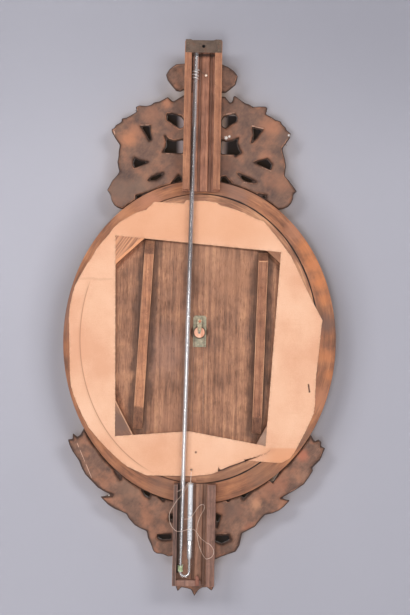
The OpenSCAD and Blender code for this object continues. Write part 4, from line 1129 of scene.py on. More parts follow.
def make_outer_ring():
    crown = [(0.32, 73), (0.345, 75.2), (0.40, 77), (0.46, 77.8), (0.52, 78), (0.56, 77.8)]
    slope = [(LEAF_FROM + LEAF_LONG * k / 10, 77.6 - 9.6 * (k / 10) ** 1.4)
             for k in range(1, 11)]
    outside = [(0.875, 64.5), (0.885, 63), (0.94, 62.2), (0.985, 61), (1, 59.5), (1, 52),
               (1, 44), (1, 36), (0.994, 34.5), (0.98, RING_BACK)]
    behind = [(0.8, RING_BACK), (0.6, RING_BACK), (0.4, RING_BACK), (0.2, RING_BACK),
              (0.02, RING_BACK), (0, RING_BACK + 1)]
    inside = [(0, 50), (0, LIP_BACK - 0.3), (0.02, LIP_BACK), (0.27, LIP_BACK),
              (0.30, LIP_BACK + 0.6)]
    profile = inside + crown + slope + outside + behind
    bm = swept_ring(profile, JOINT, OUTER, RING_STEPS, ring_relief)
    for face in bm.faces:
        depth = -face.calc_center_median().y / MM
        face.material_index = 1 if depth > GILT_FROM else 0
    settle("ring_moulding", bm, [ring_finish, gilt_finish], ["outer_ring"], 40)


def make_sight_border():
    lift = LIP_BACK
    sight = [(0, lift), (0, lift + 3), (0.008, lift + 4.6), (0.03, lift + 6), (0.06, lift + 7.6),
             (0.09, lift + 8.3), (0.12, lift + 8.5), (0.15, lift + 8.2), (0.18, lift + 7.2),
             (0.21, lift + 5.6), (0.235, lift + 4.2), (0.25, lift + 3.4), (0.3, lift + 3)]
    sight += [(0.3 + 0.1 * k, lift + 2.6 + 0.3 * sin(k)) for k in range(1, 5)]
    sight += [(0.78, lift + 3), (0.82, lift + 4), (0.86, lift + 5), (0.90, lift + 5.8),
              (0.94, lift + 6), (0.98, lift + 5.4), (1, lift + 4), (1, lift)]
    outer = oval_of(*reach("inner_ring"))
    bm = swept_ring(sight, SIGHT, outer, SIGHT_STEPS, gadroons)
    settle("sight_border", bm, [gilt_finish], ["sight_moulding"], 40)


def gadroons(angle, share, depth):
    """Slanting lobes round the raised edge of the sight moulding."""
    if depth < LIP_BACK + 2:
        return 0.0
    if share < 0.24:
        swing = sin(angle * LOBE_REPEATS + share * 22)
        return 1.1 * swing * sin(pi * min(share / 0.24, 1))
    if share > 0.8:
        return 0.7 * sin(angle * EDGE_REPEATS) * sin(pi * min((share - 0.8) / 0.2, 1))
    return 0.0


BEADS = 200
BEAD_D = 6.6
BEAD_SHARE = 0.15


def make_beading():
    """Pearls round the inner edge of the moulding, each a cut sphere."""
    bm = bmesh.new()
    for k in range(BEADS):
        angle = 2 * pi * k / BEADS
        place = on_oval(JOINT, angle) * (1 - BEAD_SHARE) + on_oval(OUTER, angle) * BEAD_SHARE
        made = bmesh.ops.create_uvsphere(bm, u_segments=12, v_segments=8, radius=BEAD_D / 2 * MM)
        for v in made["verts"]:
            v.co = mm(place.x, LIP_BACK + 0.2, place.y) + Vector((v.co.x, v.co.z, v.co.y))
    settle("ring_pearls", bm, [gilt_finish], ["pearl_beading"], 60)


# Paper: a torn, creased sheet over the rings
PAPER_STEP = 2.5
PAPER_T = 0.3
PAPER_DEPTH = RING_BACK - 0.5


def paper_finish():
    f = Finish("backing_paper")
    pulp = f.cloud(2.2, 6, rough=0.7)
    tone = f.cloud(90, 3) * 0.7 + pulp * 0.3
    colour = f.ramp(tone, (0.36, tint(230, 172, 138)), (0.5, tint(240, 188, 154)),
                    (0.66, tint(247, 200, 168)))
    laid = f.cloud(3, 3, (0.06, 1, 1))
    colour = f.mix(f.step(laid, 0.6, 0.75) * 0.14, colour, tint(214, 156, 122))
    orange = f.step(f.axis("Z"), -390, -330) * 0.55
    flap = f.step(f.axis("X") * -1, 112, 150) * (1 - f.step(f.axis("Z"), -734, -729))
    foot = (1 - f.step(f.axis("Z"), -760, -700)) * 0.3
    colour = f.mix(orange + flap * 0.7 + foot, colour, tint(228, 162, 122))
    specks = f.step(f.cloud(1.1, 2), 0.74, 0.78)
    colour = f.mix(specks * 0.5, colour, tint(176, 122, 92))
    hole = tint(96, 60, 46)
    colour = f.mix(f.near(1, -742, 2.6, 0.3), colour, hole)
    colour = f.mix(f.beside((-204, -614), (-206, -627), 0.6, 2.2), colour, hole)
    # Painted shadow of the tube on the paper.
    colour = f.mix(f.beside(TUBE_TOP, TUBE_FOOT, 4.5, 9) * 0.4, colour, tint(188, 130, 98))
    # Painted shade where the paper creases into the joint between the rings, and along a horizontal
    # fold.
    over_joint = f.off_oval(JOINT)
    seen = f.step(f.axis("X"), 70, 120) * (1 - f.step(f.axis("Z"), -450, -425))
    line = 1 - f.step(abs(over_joint), 0.4, 1.3)
    shade = f.between(over_joint, 0.5, 1.5, 4)
    fold = 1 - f.step(abs(f.axis("Z") + 427 + (f.cloud(40) - 0.5) * 12), 0.8, 3.0)
    fold = fold * f.step(f.axis("X"), 158, 162) * 0.18
    colour = f.mix((line * 0.6 + shade * 0.16) * seen + fold, colour, tint(178, 122, 94))
    edge = f.node("Attribute", {"attribute_name": "edge"}, None, "Fac")
    colour = f.mix(edge * f.step(f.cloud(6, 4), 0.42, 0.6) * 0.5, colour, tint(196, 140, 110))
    height = pulp * 0.5 + laid * 0.5 + f.cloud(14, 4) * 1.6
    return f.put(Base_Color=colour, Roughness=0.88, Normal=f.bump(height, 0.3))


paper_look = paper_finish()
TEAR_EDGE = [(-45, -773), (-90, -755), (-140, -732)]
FLAP_FOLD = [(-118, -731), (-186, -731)]


def near_line(x, z, line, width):
    """1 on a line of points, fading with the distance over about this width."""
    here = Vector((x, z))
    best = 1e9
    for a, b in zip(line, line[1:]):
        a, run = Vector(a), Vector(b) - Vector(a)
        share = min(max((here - a).dot(run) / run.length_squared, 0), 1)
        best = min(best, (here - a - run * share).length)
    return exp(-best / width)


def paper_lift(x, z, gap):
    """How far the paper stands off the wood, towards the wall."""
    here = Vector((x, z, 0))
    lift = 0.35 + 0.5 * noise.noise(here / 60) + 0.2 * noise.noise(here / 18)
    centre_x, centre_z, half_w, half_h = JOINT
    ratio = hypot((x - centre_x) / half_w, (z - centre_z) / half_h)
    off_joint = (ratio - 1) * 240
    if x > 60 and z < -430:
        lift += 0.8 * exp(-((off_joint + 6) / 5) ** 2) - 0.5 * exp(-(off_joint / 2) ** 2)
    free_edge = exp(-gap / 14)
    lift += free_edge * 1.4 * noise.noise(here / 45 + Vector((7, 3, 0)))
    right = exp(-((x + 178) / 10) ** 2) * (z < -470)
    lift += 1.5 * right * (0.5 + 0.5 * noise.noise(here / 30))
    lift += 4.5 * near_line(x, z, TEAR_EDGE, 7) + 1.2 * near_line(x, z, FLAP_FOLD, 4)
    lift += 2.0 * exp(-hypot(x - 14, z + 706) / 22)
    foot = min(max((-748 - z) / 16, 0), 1) * min(max((x + 96) / 20, 0), 1)
    lift += 1.8 * foot * exp(-gap / 5)
    return max(lift, -0.1)


def make_paper():
    """A grid cut to the paper's outline, lifted and creased, and given its thickness."""
    outline = Outline("dust_paper", PAPER_DEPTH)
    low, high = reach("dust_paper")
    wide, tall = high.x - low.x, high.z - low.z
    bm = bmesh.new()
    bmesh.ops.create_grid(bm, x_segments=int(wide / PAPER_STEP),
                          y_segments=int(tall / PAPER_STEP), size=0.5)
    for v in bm.verts:
        v.co = mm(low.x + (v.co.x + 0.5) * wide, PAPER_DEPTH, low.z + (v.co.y + 0.5) * tall)
    middles = np.array([f.calc_center_median().xz for f in bm.faces]) / MM
    inside = outline.nearest(middles)[0] > 0.15
    bmesh.ops.delete(bm, geom=[f for f, keep in zip(list(bm.faces), inside) if not keep],
                     context="FACES")
    border = [v for v in bm.verts if v.is_boundary]
    at = np.array([v.co.xz for v in border]) / MM
    feet = outline.nearest(at)[1]
    corners = {(round(r[0], 2), round(r[1], 2)) for r in outline.rows}
    for corner in sorted(corners):
        nearest = int(np.argmin(np.hypot(*(at - np.array(corner)).T)))
        feet[nearest] = corner
    for v, foot in zip(border, feet):
        ragged = noise.noise_vector(Vector((foot[0], foot[1], 0)) / 3.5) * 0.5
        v.co = mm(foot[0] + ragged.x, -v.co.y / MM, foot[1] + ragged.y)
    bmesh.ops.remove_doubles(bm, verts=bm.verts, dist=0.15 * MM)
    bmesh.ops.triangulate(bm, faces=bm.faces)
    edge = bm.verts.layers.float.new("edge")
    gaps = outline.nearest(np.array([v.co.xz for v in bm.verts]) / MM)[0]
    for v, gap in zip(bm.verts, np.clip(gaps, 0, None)):
        v.co.y += paper_lift(v.co.x / MM, v.co.z / MM, gap) * MM
        v[edge] = exp(-gap / 1.6)
    thicken(bm, bm.faces[:], PAPER_T)
    settle("torn_paper", bm, [paper_look], ["dust_paper"], 70)


# Boards, rails and blocks
def make_woodwork():
    for node in ("upper_rail_left", "upper_rail_right"):
        worked_copy(node, node + "_wood", [rail_finish, rail_edge], 1.1, 0.35, 22)
    for side, finish in (("left", lower_left_finish), ("right", lower_rail_finish)):
        node = "lower_rail_" + side
        worked_copy(node, node + "_wood", [finish, lower_edge], 0.9, 0.3, 22)
    worked_copy("upper_channel_floor", "upper_floor_board", [floor_finish], 0.7,
                0.3, 25)
    worked_copy("lower_channel_floor", "lower_floor_board", [lower_floor_finish], 0.7,
                0.3, 25)
    worked_copy("dial_board", "dial_board_wood", [board_finish, board_edge], 0.7,
                0.25, 40)
    for side, finish in (("left", left_batten), ("right", right_batten)):
        node = "batten_" + side
        worked_copy(node, node + "_wood", [finish, batten_edge], 0.9, 0.4, 25)
    worked_copy("foot_block", "foot_block_wood", [lower_rail_finish, lower_edge],
                0.8, 0.4)
    worked_copy("foot_wedge", "foot_wedge_wood", [wedge_finish], 0.8, 0.5)


def make_fittings():
    for node, name, finish, slot, edge, wander, body in (
            ("hanging_plate", "hanging_plate_iron", iron_finish, "old_iron", 0.35, 0.2, "case"),
            ("hanging_plate_nails", "plate_nail_heads", nail_finish, "old_iron", 0.25, 0.1, "case"),
            ("tie_nail", "wire_nail", nail_glint, "old_iron", 0.3, 0.1, "case"),
            ("pivot_plate", "pivot_plate_brass", brass_finish, "old_brass", 0.2, 0.1, "case"),
            ("plate_pins", "plate_pin_heads", cock_finish, "old_brass", 0.15, 0.0, "case"),
            ("pivot_cock", "pivot_cock_brass", cock_finish, "old_brass", 0.25, 0.08, "case"),
            ("cock_screw", "cock_screw_head", screw_finish, "old_brass", 0.2, 0.0, "case"),
            ("pulley", "pulley_boxwood", boxwood_finish, "boxwood", 0.2, 0.0, "pointer"),
            ("indicator_hand", "hand_steel", steel_finish, "blued_steel", 0.25, 0.0, "pointer"),
            ("hand_cap", "hand_cap_brass", cock_finish, "old_brass", 0.3, 0.0, "pointer"),
            ("sight_slip", "sight_slip_gilt", gilt_finish, "gilt_wood", 0.5, 0.0, "case")):
        worked_copy(node, name, [finish], edge, wander, body=body)
    for node, finish in (("arbor", steel_finish), ("arbor_bush", cock_finish),
                         ("dial_glass", dial_glass), ("float_weight", steel_finish),
                         ("counterweight", cock_finish), ("float_thread", pale_thread),
                         ("counterweight_thread", working_finish)):
        carried(node, finish)


def carried(node, finish):
    """Gives a node that is shown as it is its material."""
    mesh = nodes[node].data
    mesh.materials.clear()
    mesh.materials.append(finish.material)


# Tube and mercury, on the same lines as the frame's nodes
LONG_X, ARM_X = 25.6, 9.2
LEAN = radians(0.74)
BEND_R = (LONG_X - ARM_X) / 2
OUTER_R, BORE_R = 4.4, 2.6
BEND_OUTER_R, BEND_BORE_R = 2.8, 1.3
ARM_OUTER_R, ARM_BORE_R = 5.2, 4.2
tube_low, tube_high = reach("barometer_tube")
TUBE_DEPTH = -(tube_low.y + tube_high.y) / 2
BEND_Z = tube_low.z + BEND_OUTER_R + BEND_R
LONG_L = 4 - BEND_Z
TAPER_FOOT, TAPER_TOP = 30, 170
NECK_Z = BEND_Z + 20.6
WIDE_Z = NECK_Z + 8
MOUTH_Z = reach("lower_rail_left")[1].z + 2
MERCURY_Z = WIDE_Z + 28
WELL_Z = MERCURY_Z - 25
COLUMN_TOP = MERCURY_Z + 758 - BEND_Z


def on_long_arm(height):
    return Vector((LONG_X - height * sin(LEAN), BEND_Z + height * cos(LEAN)))


def tube_path(stations):
    """Centre and radius along the tube: long arm, bend and open arm."""
    rows = []
    for height, radius in stations["long"]:
        rows.append((on_long_arm(height), radius))
    for k in range(13):
        a = pi * k / 12
        rows.append((Vector(((LONG_X + ARM_X) / 2 + BEND_R * cos(a), BEND_Z - BEND_R * sin(a))),
                     stations["bend"]))
    for z, radius in stations["open"]:
        rows.append((Vector((ARM_X, z)), radius))
    return rows


def tube_skin(bm, rows, sides, capped=(True, True)):
    """Rings of vertices along rows of centre and radius, joined into a skin."""
    loops = []
    for k, (centre, radius) in enumerate(rows):
        ahead = rows[min(k + 1, len(rows) - 1)][0] - rows[max(k - 1, 0)][0]
        ahead.normalize()
        out = Vector((-ahead.y, ahead.x))
        ring = bmesh.ops.create_circle(bm, cap_ends=False, segments=sides, radius=1)["verts"]
        for v in ring:
            side, deep = v.co.x * radius, v.co.y * radius
            place = centre + out * side
            v.co = mm(place.x, TUBE_DEPTH + deep, place.y)
        loops.append(list(dict.fromkeys(e for v in ring for e in v.link_edges)))
    for one, other in zip(loops, loops[1:]):
        bmesh.ops.bridge_loops(bm, edges=one + other)
    for cap, loop in zip(capped, (loops[0], loops[-1])):
        if cap:
            bmesh.ops.holes_fill(bm, edges=loop)
    return loops


def rounded_end(radius, top):
    """Heights and radii of the round head of a skin, from its widest ring up."""
    turns = [pi / 2 * k / 6 for k in range(6)]
    return [(top - radius * (1 - sin(turn)), radius * cos(turn)) for turn in turns]


def stations(main, foot, arm, top):
    """Heights and radii of one skin of the tube, from the top of the long arm to the mouth."""
    straight = [(h, main) for h in range(int(top) - 6, TAPER_TOP, -30)]
    taper = [(TAPER_TOP, main), ((TAPER_TOP + TAPER_FOOT) / 2, (main + foot) / 2),
             (TAPER_FOOT, foot), (6, foot)]
    neck = [(BEND_Z + 6, foot), (NECK_Z, foot), (NECK_Z + 2, foot + (arm - foot) * 0.2),
            (NECK_Z + 5, foot + (arm - foot) * 0.75), (WIDE_Z, arm)]
    return {"long": straight + taper, "bend": foot, "open": neck}


TUBE_SIDES, MERCURY_SIDES = 32, 24
FILM = 0.04
WELL_R = 3.5


def make_glass():
    """Glass with a true bore: a skin outside, a skin inside, joined at the mouth."""
    bm = bmesh.new()
    mouths = []
    for main, foot, arm, lip in ((OUTER_R, BEND_OUTER_R, ARM_OUTER_R, -0.25),
                                 (BORE_R, BEND_BORE_R, ARM_BORE_R, 0.25)):
        skin = stations(main, foot, arm, LONG_L)
        head = [(LONG_L + height, wide) for height, wide in reversed(rounded_end(main, main))]
        skin["long"] = head + skin["long"]
        skin["open"] += [(WIDE_Z + (MOUTH_Z - 1 - WIDE_Z) * k / 4, arm) for k in range(1, 5)]
        skin["open"].append((MOUTH_Z - 0.1, arm + lip))
        mouths.append(tube_skin(bm, tube_path(skin), TUBE_SIDES, (True, False))[-1])
    bmesh.ops.bridge_loops(bm, edges=mouths[0] + mouths[1])
    bmesh.ops.recalc_face_normals(bm, faces=bm.faces)
    if bm.calc_volume(signed=True) < 0:
        bmesh.ops.reverse_faces(bm, faces=bm.faces)
    for face in bm.faces:
        at = face.calc_center_median() / MM
        face.material_index = 1 if at.z > WIDE_Z and at.x < ARM_X + ARM_OUTER_R + 0.2 else 0
    settle("glass_tube", to_mesh("glass_tube", bm), [tube_glass, arm_glass],
           ["barometer_tube"], 50)


def make_mercury():
    """The column, a hair wider than the bore, with a well in the open arm for the float."""
    skin = stations(BORE_R + FILM, BEND_BORE_R + FILM, ARM_BORE_R + FILM, COLUMN_TOP)
    skin["long"] = [(COLUMN_TOP + 0.9, 0.8), (COLUMN_TOP + 0.6, 1.6),
                    (COLUMN_TOP, BORE_R + FILM)] + skin["long"]
    skin["open"] += [(MERCURY_Z - 0.4, ARM_BORE_R + FILM), (MERCURY_Z, 3.9),
                     (MERCURY_Z, WELL_R), (WELL_Z, WELL_R)]
    bm = bmesh.new()
    tube_skin(bm, tube_path(skin), MERCURY_SIDES)
    settle("mercury_thread", bm, [mercury], ["mercury_column"], 50)


def make_stain():
    """The film on the inside of the open arm, above the mercury."""
    heights = [MERCURY_Z + up for up in (1, 30, 60, 85)] + [MOUTH_Z - 3]
    bm = bmesh.new()
    tube_skin(bm, [(Vector((ARM_X, z)), ARM_BORE_R - 0.12) for z in heights], TUBE_SIDES,
              (False, False))
    settle("arm_stain", bm, [stain_finish], smooth=50)


# Threads and ties
THREAD_D = 0.7


def line_of(name, points, diameter, finish, stands_for, smooth=True):
    """A thread or wire as one curve through its points."""
    curve = curve_of(name, points, diameter / 2 * MM, 2, smooth)
    curve.materials.append(finish.material)
    piece = bpy.data.objects.new(name, curve)
    bpy.context.scene.collection.objects.link(piece)
    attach(piece, "case")
    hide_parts(stands_for)
    return piece


LOOSE_ROUTE = [
    (7.4, 17.4, 2), (8, 14.6, -2.5), (10, 12.2, -1.5), (12, 11.6, 1), (18, 11.6, 11),
    (24.5, 9.5, 20), (29, 6, 26), (31.6, 2.6, 28.5), (33.4, 1.1, 30.5), (36.5, 1.1, 35),
    (39.2, 1.2, 40), (42, 2, 44), (46.5, 3, 53), (47.5, 4.5, 62), (46, 4, 71), (42, 2, 79),
    (39.2, 1.2, 82), (36, 1.1, 85), (33.4, 1.1, 86.5), (31.6, 2.6, 87), (28, 7, 87.6),
    (24, 10, 88), (18, 11.4, 86), (9, 11.4, 83), (4, 12.2, 83.6), (1.6, 16.5, 85),
    (-3, 23.2, 90), (-9, 23.3, 100), (-16, 21, 105.5), (-20.2, 8, 106.6), (-21, 1.9, 107),
    (-22.6, 1.1, 107.4), (-26, 1.1, 108), (-33, 1.1, 115), (-36, 1.1, 124), (-32, 1.1, 133),
    (-24.5, 1.1, 136), (-22.4, 1.1, 136.2), (-20.9, 1.9, 136.2), (-19.5, 10, 135.6),
    (-14.5, 22.2, 131.5), (-8, 23.3, 116), (-5, 22.6, 102), (-3, 22.2, 88), (-5, 23.3, 73),
    (-10, 23.3, 59), (-17, 23.3, 48), (-16.5, 23.3, 39), (-8, 22.6, 40.5), (-1, 17.6, 50),
    (3.6, 12.6, 57.5), (9, 11.4, 64.5), (15, 11.6, 65.4), (20, 12.4, 66)]
TAIL_ROUTE = [
    (10.6, 17, 2), (11.4, 14.6, -2), (13.6, 13.2, -1.2), (15.6, 12.8, 2.5), (18, 12.4, 7),
    (24, 10.6, 10.5), (28.4, 6, 12.6), (31.4, 2.6, 13.8), (33.4, 1.1, 14.5)]
LOOSE_LENGTH = 0.4235
TAIL_LENGTH = 0.038


def from_mouth(route):
    """Points given as x, depth and drop below the open arm's mouth."""
    return [mm(x, depth, MOUTH_Z - drop) for x, depth, drop in route]


def make_cords():
    for name, route, length, node in (("loose_end", LOOSE_ROUTE, LOOSE_LENGTH, "loose_thread"),
                                      ("short_end", TAIL_ROUTE, TAIL_LENGTH, "thread_tail")):
        places = from_mouth(route)
        line = line_of(name, places, THREAD_D, pale_thread, node)


def tube_x_at(z):
    return LONG_X - (z - BEND_Z) * tan(LEAN)


TURN_STEPS = 24


def helix(x, z, radius, turns, pitch):
    """Points wound up a tube from its side nearest the middle of the channel."""
    made = []
    for k in range(turns * TURN_STEPS + 1):
        a = radians(180 - 360 * k / TURN_STEPS)
        made.append(mm(x + radius * cos(a), TUBE_DEPTH - radius * sin(a),
                       z + pitch * k / TURN_STEPS))
    return made


WIRE_D, WIRE_FOOT, WIRE_COIL_R = 1.4, -57, 5.25
WIRE_TURNS, WIRE_PITCH = 3, 5.5
TIE_D, TIE_COIL_R = 1.5, 4.05
TIE_TURNS, TIE_PITCH = 5, 2.2
THREAD_HOLE_Z = -774
THREAD_R = 8.9
PULLEY_DEPTH = 37.9
WEIGHT_TOP_Z = -726


def make_wire_tie():
    """Wire wound round the head of the tube, with its end on the nail."""
    x = tube_x_at(WIRE_FOOT)
    side = x - WIRE_COIL_R
    top = WIRE_FOOT + WIRE_TURNS * WIRE_PITCH
    wire = [mm(side - 0.1, 26.6, WIRE_FOOT), mm(side - 0.1, 24.4, WIRE_FOOT),
            mm(side, TUBE_DEPTH + 1.6, WIRE_FOOT)]
    wire += helix(x, WIRE_FOOT, WIRE_COIL_R, WIRE_TURNS, WIRE_PITCH)
    wire += [mm(side - 0.3, TUBE_DEPTH + 2.2, top), mm(side - 5, 21.6, top - 3),
             mm(-1.6, 22.6, -47.8)]
    line_of("wire_tie", wire, WIRE_D, wire_finish, "tube_wire_tie")


def make_green_tie():
    """Green thread wound round the foot of the tube, above its bend."""
    foot = BEND_Z + 0.6
    x = tube_x_at(foot + 5)
    side = x - TIE_COIL_R
    top = foot + 11.4
    tie = [mm(side, 26.6, foot), mm(side, 24.6, foot)]
    tie += helix(x, foot, TIE_COIL_R, TIE_TURNS, TIE_PITCH)
    tie += [mm(side - 0.3, TUBE_DEPTH + 1.6, top), mm(side - 0.6, TUBE_DEPTH + 3.2, top)]
    line_of("green_tie", tie, TIE_D, green_thread, "thread_tie")


def make_working_thread():
    """From the float's arm through the paper, over the pulley and down to the weight."""
    rise = PIVOT[1] - THREAD_HOLE_Z
    fall = WEIGHT_TOP_Z - PIVOT[1]
    path = [mm(ARM_X + x, TUBE_DEPTH + deep, MOUTH_Z + z)
            for x, deep, z in ((1.4, 1.4, -69), (1.4, 1.8, -43), (1, 2.4, -18), (0.6, 3.2, -1),
                               (0.2, 5.2, 4))]
    path += [mm(x, depth, THREAD_HOLE_Z + z)
             for x, depth, z in ((8.6, 30.75, -5), (8.6, 33.95, 0), (8.6, 35.6, 8),
                                 (8.3, 36.4, 0.3 * rise), (7.8, 37.2, 0.7 * rise))]
    turns = [pi * k / 12 for k in range(13)]
    path += [mm(PIVOT[0] + THREAD_R * cos(turn), PULLEY_DEPTH, PIVOT[1] + THREAD_R * sin(turn))
             for turn in turns]
    path += [mm(PIVOT[0] - THREAD_R, PULLEY_DEPTH, PIVOT[1] + fall * share)
             for share in (0.3, 0.73)]
    line_of("working_thread", path, THREAD_D, working_finish, "pulley_thread",
            smooth=False)


# Dial: printed rings, ticks and plain numbers
DIAL_DEPTH = 55
DIAL_R = 150
SCALE_ANGLE = 120
FIRST_NUMBER, LAST_NUMBER = 28, 31
RAYS = 32
PRINT_T = 0.08


def dial_point(radius, angle, lift=0.12):
    return mm(PIVOT[0] + radius * sin(angle), DIAL_DEPTH + lift, PIVOT[1] + radius * cos(angle))


def add_arc(bm, radius, width, start, end, steps=120):
    """A thin printed band round the pivot, seen from the front."""
    grid = bmesh.ops.create_grid(bm, x_segments=steps, y_segments=1, size=0.5)["verts"]
    for v in grid:
        angle = start + (end - start) * (v.co.x + 0.5)
        v.co = dial_point(radius + v.co.y * width, angle)


def dial_finish():
    f = Finish("dial_paper")
    tone = f.cloud(70, 4)
    colour = f.ramp(tone, (0.34, tint(206, 190, 154)), (0.5, tint(232, 221, 190)),
                    (0.66, tint(244, 236, 212)))
    foxing = f.step(f.cloud(5, 5, rough=0.7), 0.66, 0.74)
    colour = f.mix(foxing * 0.5, colour, tint(176, 138, 92))
    return f.put(Base_Color=colour, Roughness=0.6, Normal=f.bump(f.cloud(1.5, 4), 0.08))


def make_dial():
    """The paper face, and one thin print with its rings, ticks, rays and numbers."""
    carried("dial_face", dial_finish())
    bm = bmesh.new()
    limit = radians(SCALE_ANGLE)
    for radius, width in ((DIAL_R, 0.9), (DIAL_R - 2.5, 0.4), (DIAL_R - 12, 0.4),
                          (DIAL_R - 34, 0.5), (DIAL_R - 36, 0.3), (52, 0.6), (49.5, 0.3)):
        add_arc(bm, radius, width, -pi, pi, 180)
    tenths = (LAST_NUMBER - FIRST_NUMBER) * 20
    for k in range(tenths + 1):
        angle = limit * (2 * k / tenths - 1)
        length = 9 if k % 20 == 0 else 7 if k % 10 == 0 else 5 if k % 2 == 0 else 3
        half = (0.5 if k % 10 == 0 else 0.28) / DIAL_R
        add_arc(bm, DIAL_R - 2.5 - length / 2, length, angle - half, angle + half, 1)
    for k in range(RAYS):
        angle = 2 * pi * k / RAYS
        long_ray = 48 if k % 2 == 0 else 36
        ray = bmesh.ops.create_grid(bm, x_segments=1, y_segments=1, size=0.5)["verts"]
        for v in ray:
            inner = v.co.y < 0
            spread = 0.055 if inner else 0.0
            v.co = dial_point(12 if inner else long_ray, angle + v.co.x * 2 * spread, 0.1)
    bmesh.ops.remove_doubles(bm, verts=bm.verts, dist=1e-6)
    for number in range(FIRST_NUMBER, LAST_NUMBER + 1):
        share = (number - FIRST_NUMBER) / (LAST_NUMBER - FIRST_NUMBER)
        add_number(bm, str(number), limit * (2 * share - 1), DIAL_R - 24, 15)
    for tenth in range(2, tenths // 2, 2):
        if tenth % 10:
            add_number(bm, str(tenth % 10), limit * (2 * tenth / (tenths / 2) - 1), DIAL_R - 19, 6)
    thicken(bm, bm.faces[:], PRINT_T)
    settle("dial_print", bm, [print_finish])


def add_number(bm, text, angle, radius, size):
    """A plain number, upright towards the rim."""
    words = bpy.data.curves.new("number", "FONT")
    words.body = text
    words.size = size * MM
    words.align_x = "CENTER"
    words.align_y = "CENTER"
    words.resolution_u = 4
    made = bpy.data.objects.new("number", words)
    mesh = bpy.data.meshes.new_from_object(made)
    turn = Matrix.Rotation(angle, 4, "Y") @ Matrix.Rotation(pi / 2, 4, "X")
    mesh.transform(Matrix.Translation(dial_point(radius, angle)) @ turn)
    bpy.data.objects.remove(made)
    bpy.data.curves.remove(words)
    add_mesh(bm, mesh)


make_cords()
make_wire_tie()
make_green_tie()
make_working_thread()
make_glass()
make_mercury()
make_stain()
make_woodwork()
make_fittings()
make_outer_ring()
make_sight_border()
worked_copy("inner_ring", "inner_ring_board", [inner_finish], 0.8, 0.12)
make_beading()
make_crest()
make_crest_top()
make_apron()
make_pendant()
make_paper()
make_dial()


# Room: a floor, a backdrop that only shows from the back, and soft lamps
SEEN_RAYS = ["Is %s Ray" % kind for kind in ("Camera", "Glossy", "Transmission")]
WALL_Y = -0.092
FLOOR_Z = -1.2


def seen_rays(f):
    """1 for rays from the camera, a gloss or a glass."""
    return sum(f.node("LightPath", output=name) for name in SEEN_RAYS).clipped()


def stage_plane(name, corners, finish):
    """One flat face of the room, which is no piece of the barometer."""
    bm = bmesh.new()
    bm.faces.new([bm.verts.new(c) for c in corners])
    mesh = to_mesh(name, bm)
    plane = bpy.data.objects.new(name, mesh)
    bpy.context.scene.collection.objects.link(plane)
    mesh.materials.append(finish.material)


def backdrop_finish():
    """Soft grey with painted light and shade, painted dark behind the openings of the crest and
    apron; seen from behind only.
    """
    f = Finish("backdrop")
    across, up = f.axis("X"), f.axis("Z")
    tone = f.ramp(f.cloud(900, 2), (0.4, tint(179, 178, 187)), (0.6, tint(186, 185, 194)))
    # Painted light falloff: darker towards -x and towards the top.
    dim = f.step(across * -1, -350, 350) * 0.28 + f.step(up, -300, 100) * 0.36
    tone = f.mix(dim, tone, tint(140, 139, 148))
    # Painted shadow of the frame on the backdrop, round the outer oval.
    tone = f.mix((1 - f.step(f.off_oval(OUTER), 15, 100)) * 0.35, tone, tint(120, 118, 126))
    # Behind the openings: painted light beside the rails, near-black painted shadow elsewhere and
    # behind the apron.
    crest = f.step(74 - up * 0.3 - abs(across), -4, 4) * f.between(up, -284, -116, 3)
    crest = (crest + f.step(64 - abs(across), -3, 3) * f.between(up, -304, -280, 3)).clipped()
    tone = f.mix(crest, tone, tint(170, 172, 200))
    strip = (1 - f.step(abs(across), 38, 50)) * f.step(up, -214, -202)
    crest = crest * (1 - strip * 0.9)
    apron = f.step(150 + (up + 781) * 0.62 - abs(across), -4, 4) * f.between(up, -921, -770, 4)
    tone = f.mix((crest + apron) * 0.97, tone, tint(22, 21, 27))
    f.put(Base_Color=tone, Roughness=0.95)
    clear = f.node("BsdfTransparent")
    facing = 1 - f.node("NewGeometry", output="Backfacing")
    solid = f.node("MixShader", None, {0: seen_rays(f) * facing, 1: clear,
                                       2: Value(f, f.shader.outputs[0])})
    f.tree.links.new(solid.socket, f.tree.nodes["Material Output"].inputs["Surface"])
    return f


def make_room():
    x, high = 2.2, 1.6
    stage_plane("backdrop", [(x, WALL_Y, FLOOR_Z), (-x, WALL_Y, FLOOR_Z), (-x, WALL_Y, high),
                             (x, WALL_Y, high)], backdrop_finish())
    f = Finish("floor")
    grime_and_shadow = f.ramp(f.cloud(400, 3), (0.4, tint(214, 213, 218)), (0.6, tint(222, 221, 226)))
    f.put(Base_Color=grime_and_shadow, Roughness=0.9)
    side = 6
    stage_plane("floor", [(-side, -side, FLOOR_Z), (side, -side, FLOOR_Z), (side, side, FLOOR_Z),
                          (-side, side, FLOOR_Z)], f)


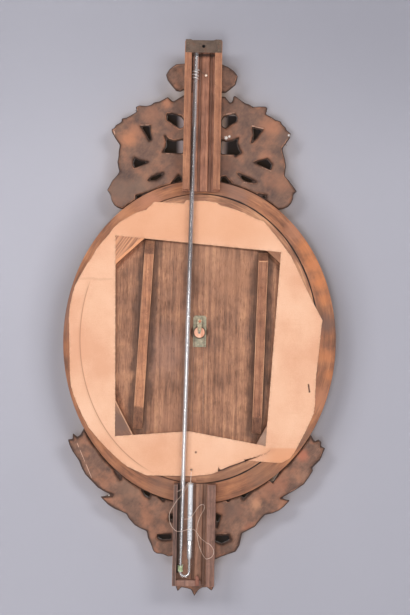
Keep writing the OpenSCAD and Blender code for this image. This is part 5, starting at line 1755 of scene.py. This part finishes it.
def lamp(name, place, aim, size, power):
    """A soft box at a place in metres, turned to what it lights."""
    light = bpy.data.lights.new(name, "AREA")
    light.shape = "RECTANGLE"
    light.size, light.size_y = size
    light.energy = power
    made = bpy.data.objects.new(name, light)
    made.location = place
    made.rotation_mode = "QUATERNION"
    made.rotation_quaternion = (Vector(aim) - Vector(place)).to_track_quat("-Z", "Z")
    bpy.context.scene.collection.objects.link(made)


def make_light():
    middle = (0, 0, -0.5)
    lamp("left_lamp", (1.4, 2.8, 0.68), middle, (1.3, 0.6), 34)
    lamp("right_lamp", (-1.4, 2.8, 0.68), middle, (1.3, 0.6), 30)
    lamp("tube_lamp", (0.25, 3.0, -0.93), (0.02, 0, -0.7), (0.5, 1.06), 37)
    lamp("front_left_lamp", (-0.95, -3.0, 0.2), middle, (0.9, 1.2), 56)
    lamp("front_right_lamp", (1.1, -2.8, 0.0), middle, (0.9, 1.2), 40)

def make_world():
    """Soft light all round, and a plain backdrop colour where a ray is seen."""
    world = bpy.data.worlds.new("world")
    bpy.context.scene.world = world
    world.use_nodes = True
    tree = world.node_tree
    sky = tree.nodes["Background"]
    sky.inputs["Color"].default_value = tint(206, 206, 212)
    sky.inputs["Strength"].default_value = 0.28
    shown = tree.nodes.new("ShaderNodeBackground")
    shown.inputs["Color"].default_value = tint(190, 189, 197)
    rays = tree.nodes.new("ShaderNodeLightPath")
    seen = rays.outputs[SEEN_RAYS[0]]
    for name in SEEN_RAYS[1:]:
        either = tree.nodes.new("ShaderNodeMath")
        either.operation = "MAXIMUM"
        tree.links.new(seen, either.inputs[0])
        tree.links.new(rays.outputs[name], either.inputs[1])
        seen = either.outputs[0]
    mixed = tree.nodes.new("ShaderNodeMixShader")
    for number, socket in enumerate((seen, sky.outputs[0], shown.outputs[0])):
        tree.links.new(socket, mixed.inputs[number])
    tree.links.new(mixed.outputs[0], tree.nodes["World Output"].inputs["Surface"])


make_room()
make_light()
make_world()
bpy.context.scene.view_settings.view_transform = "Standard"
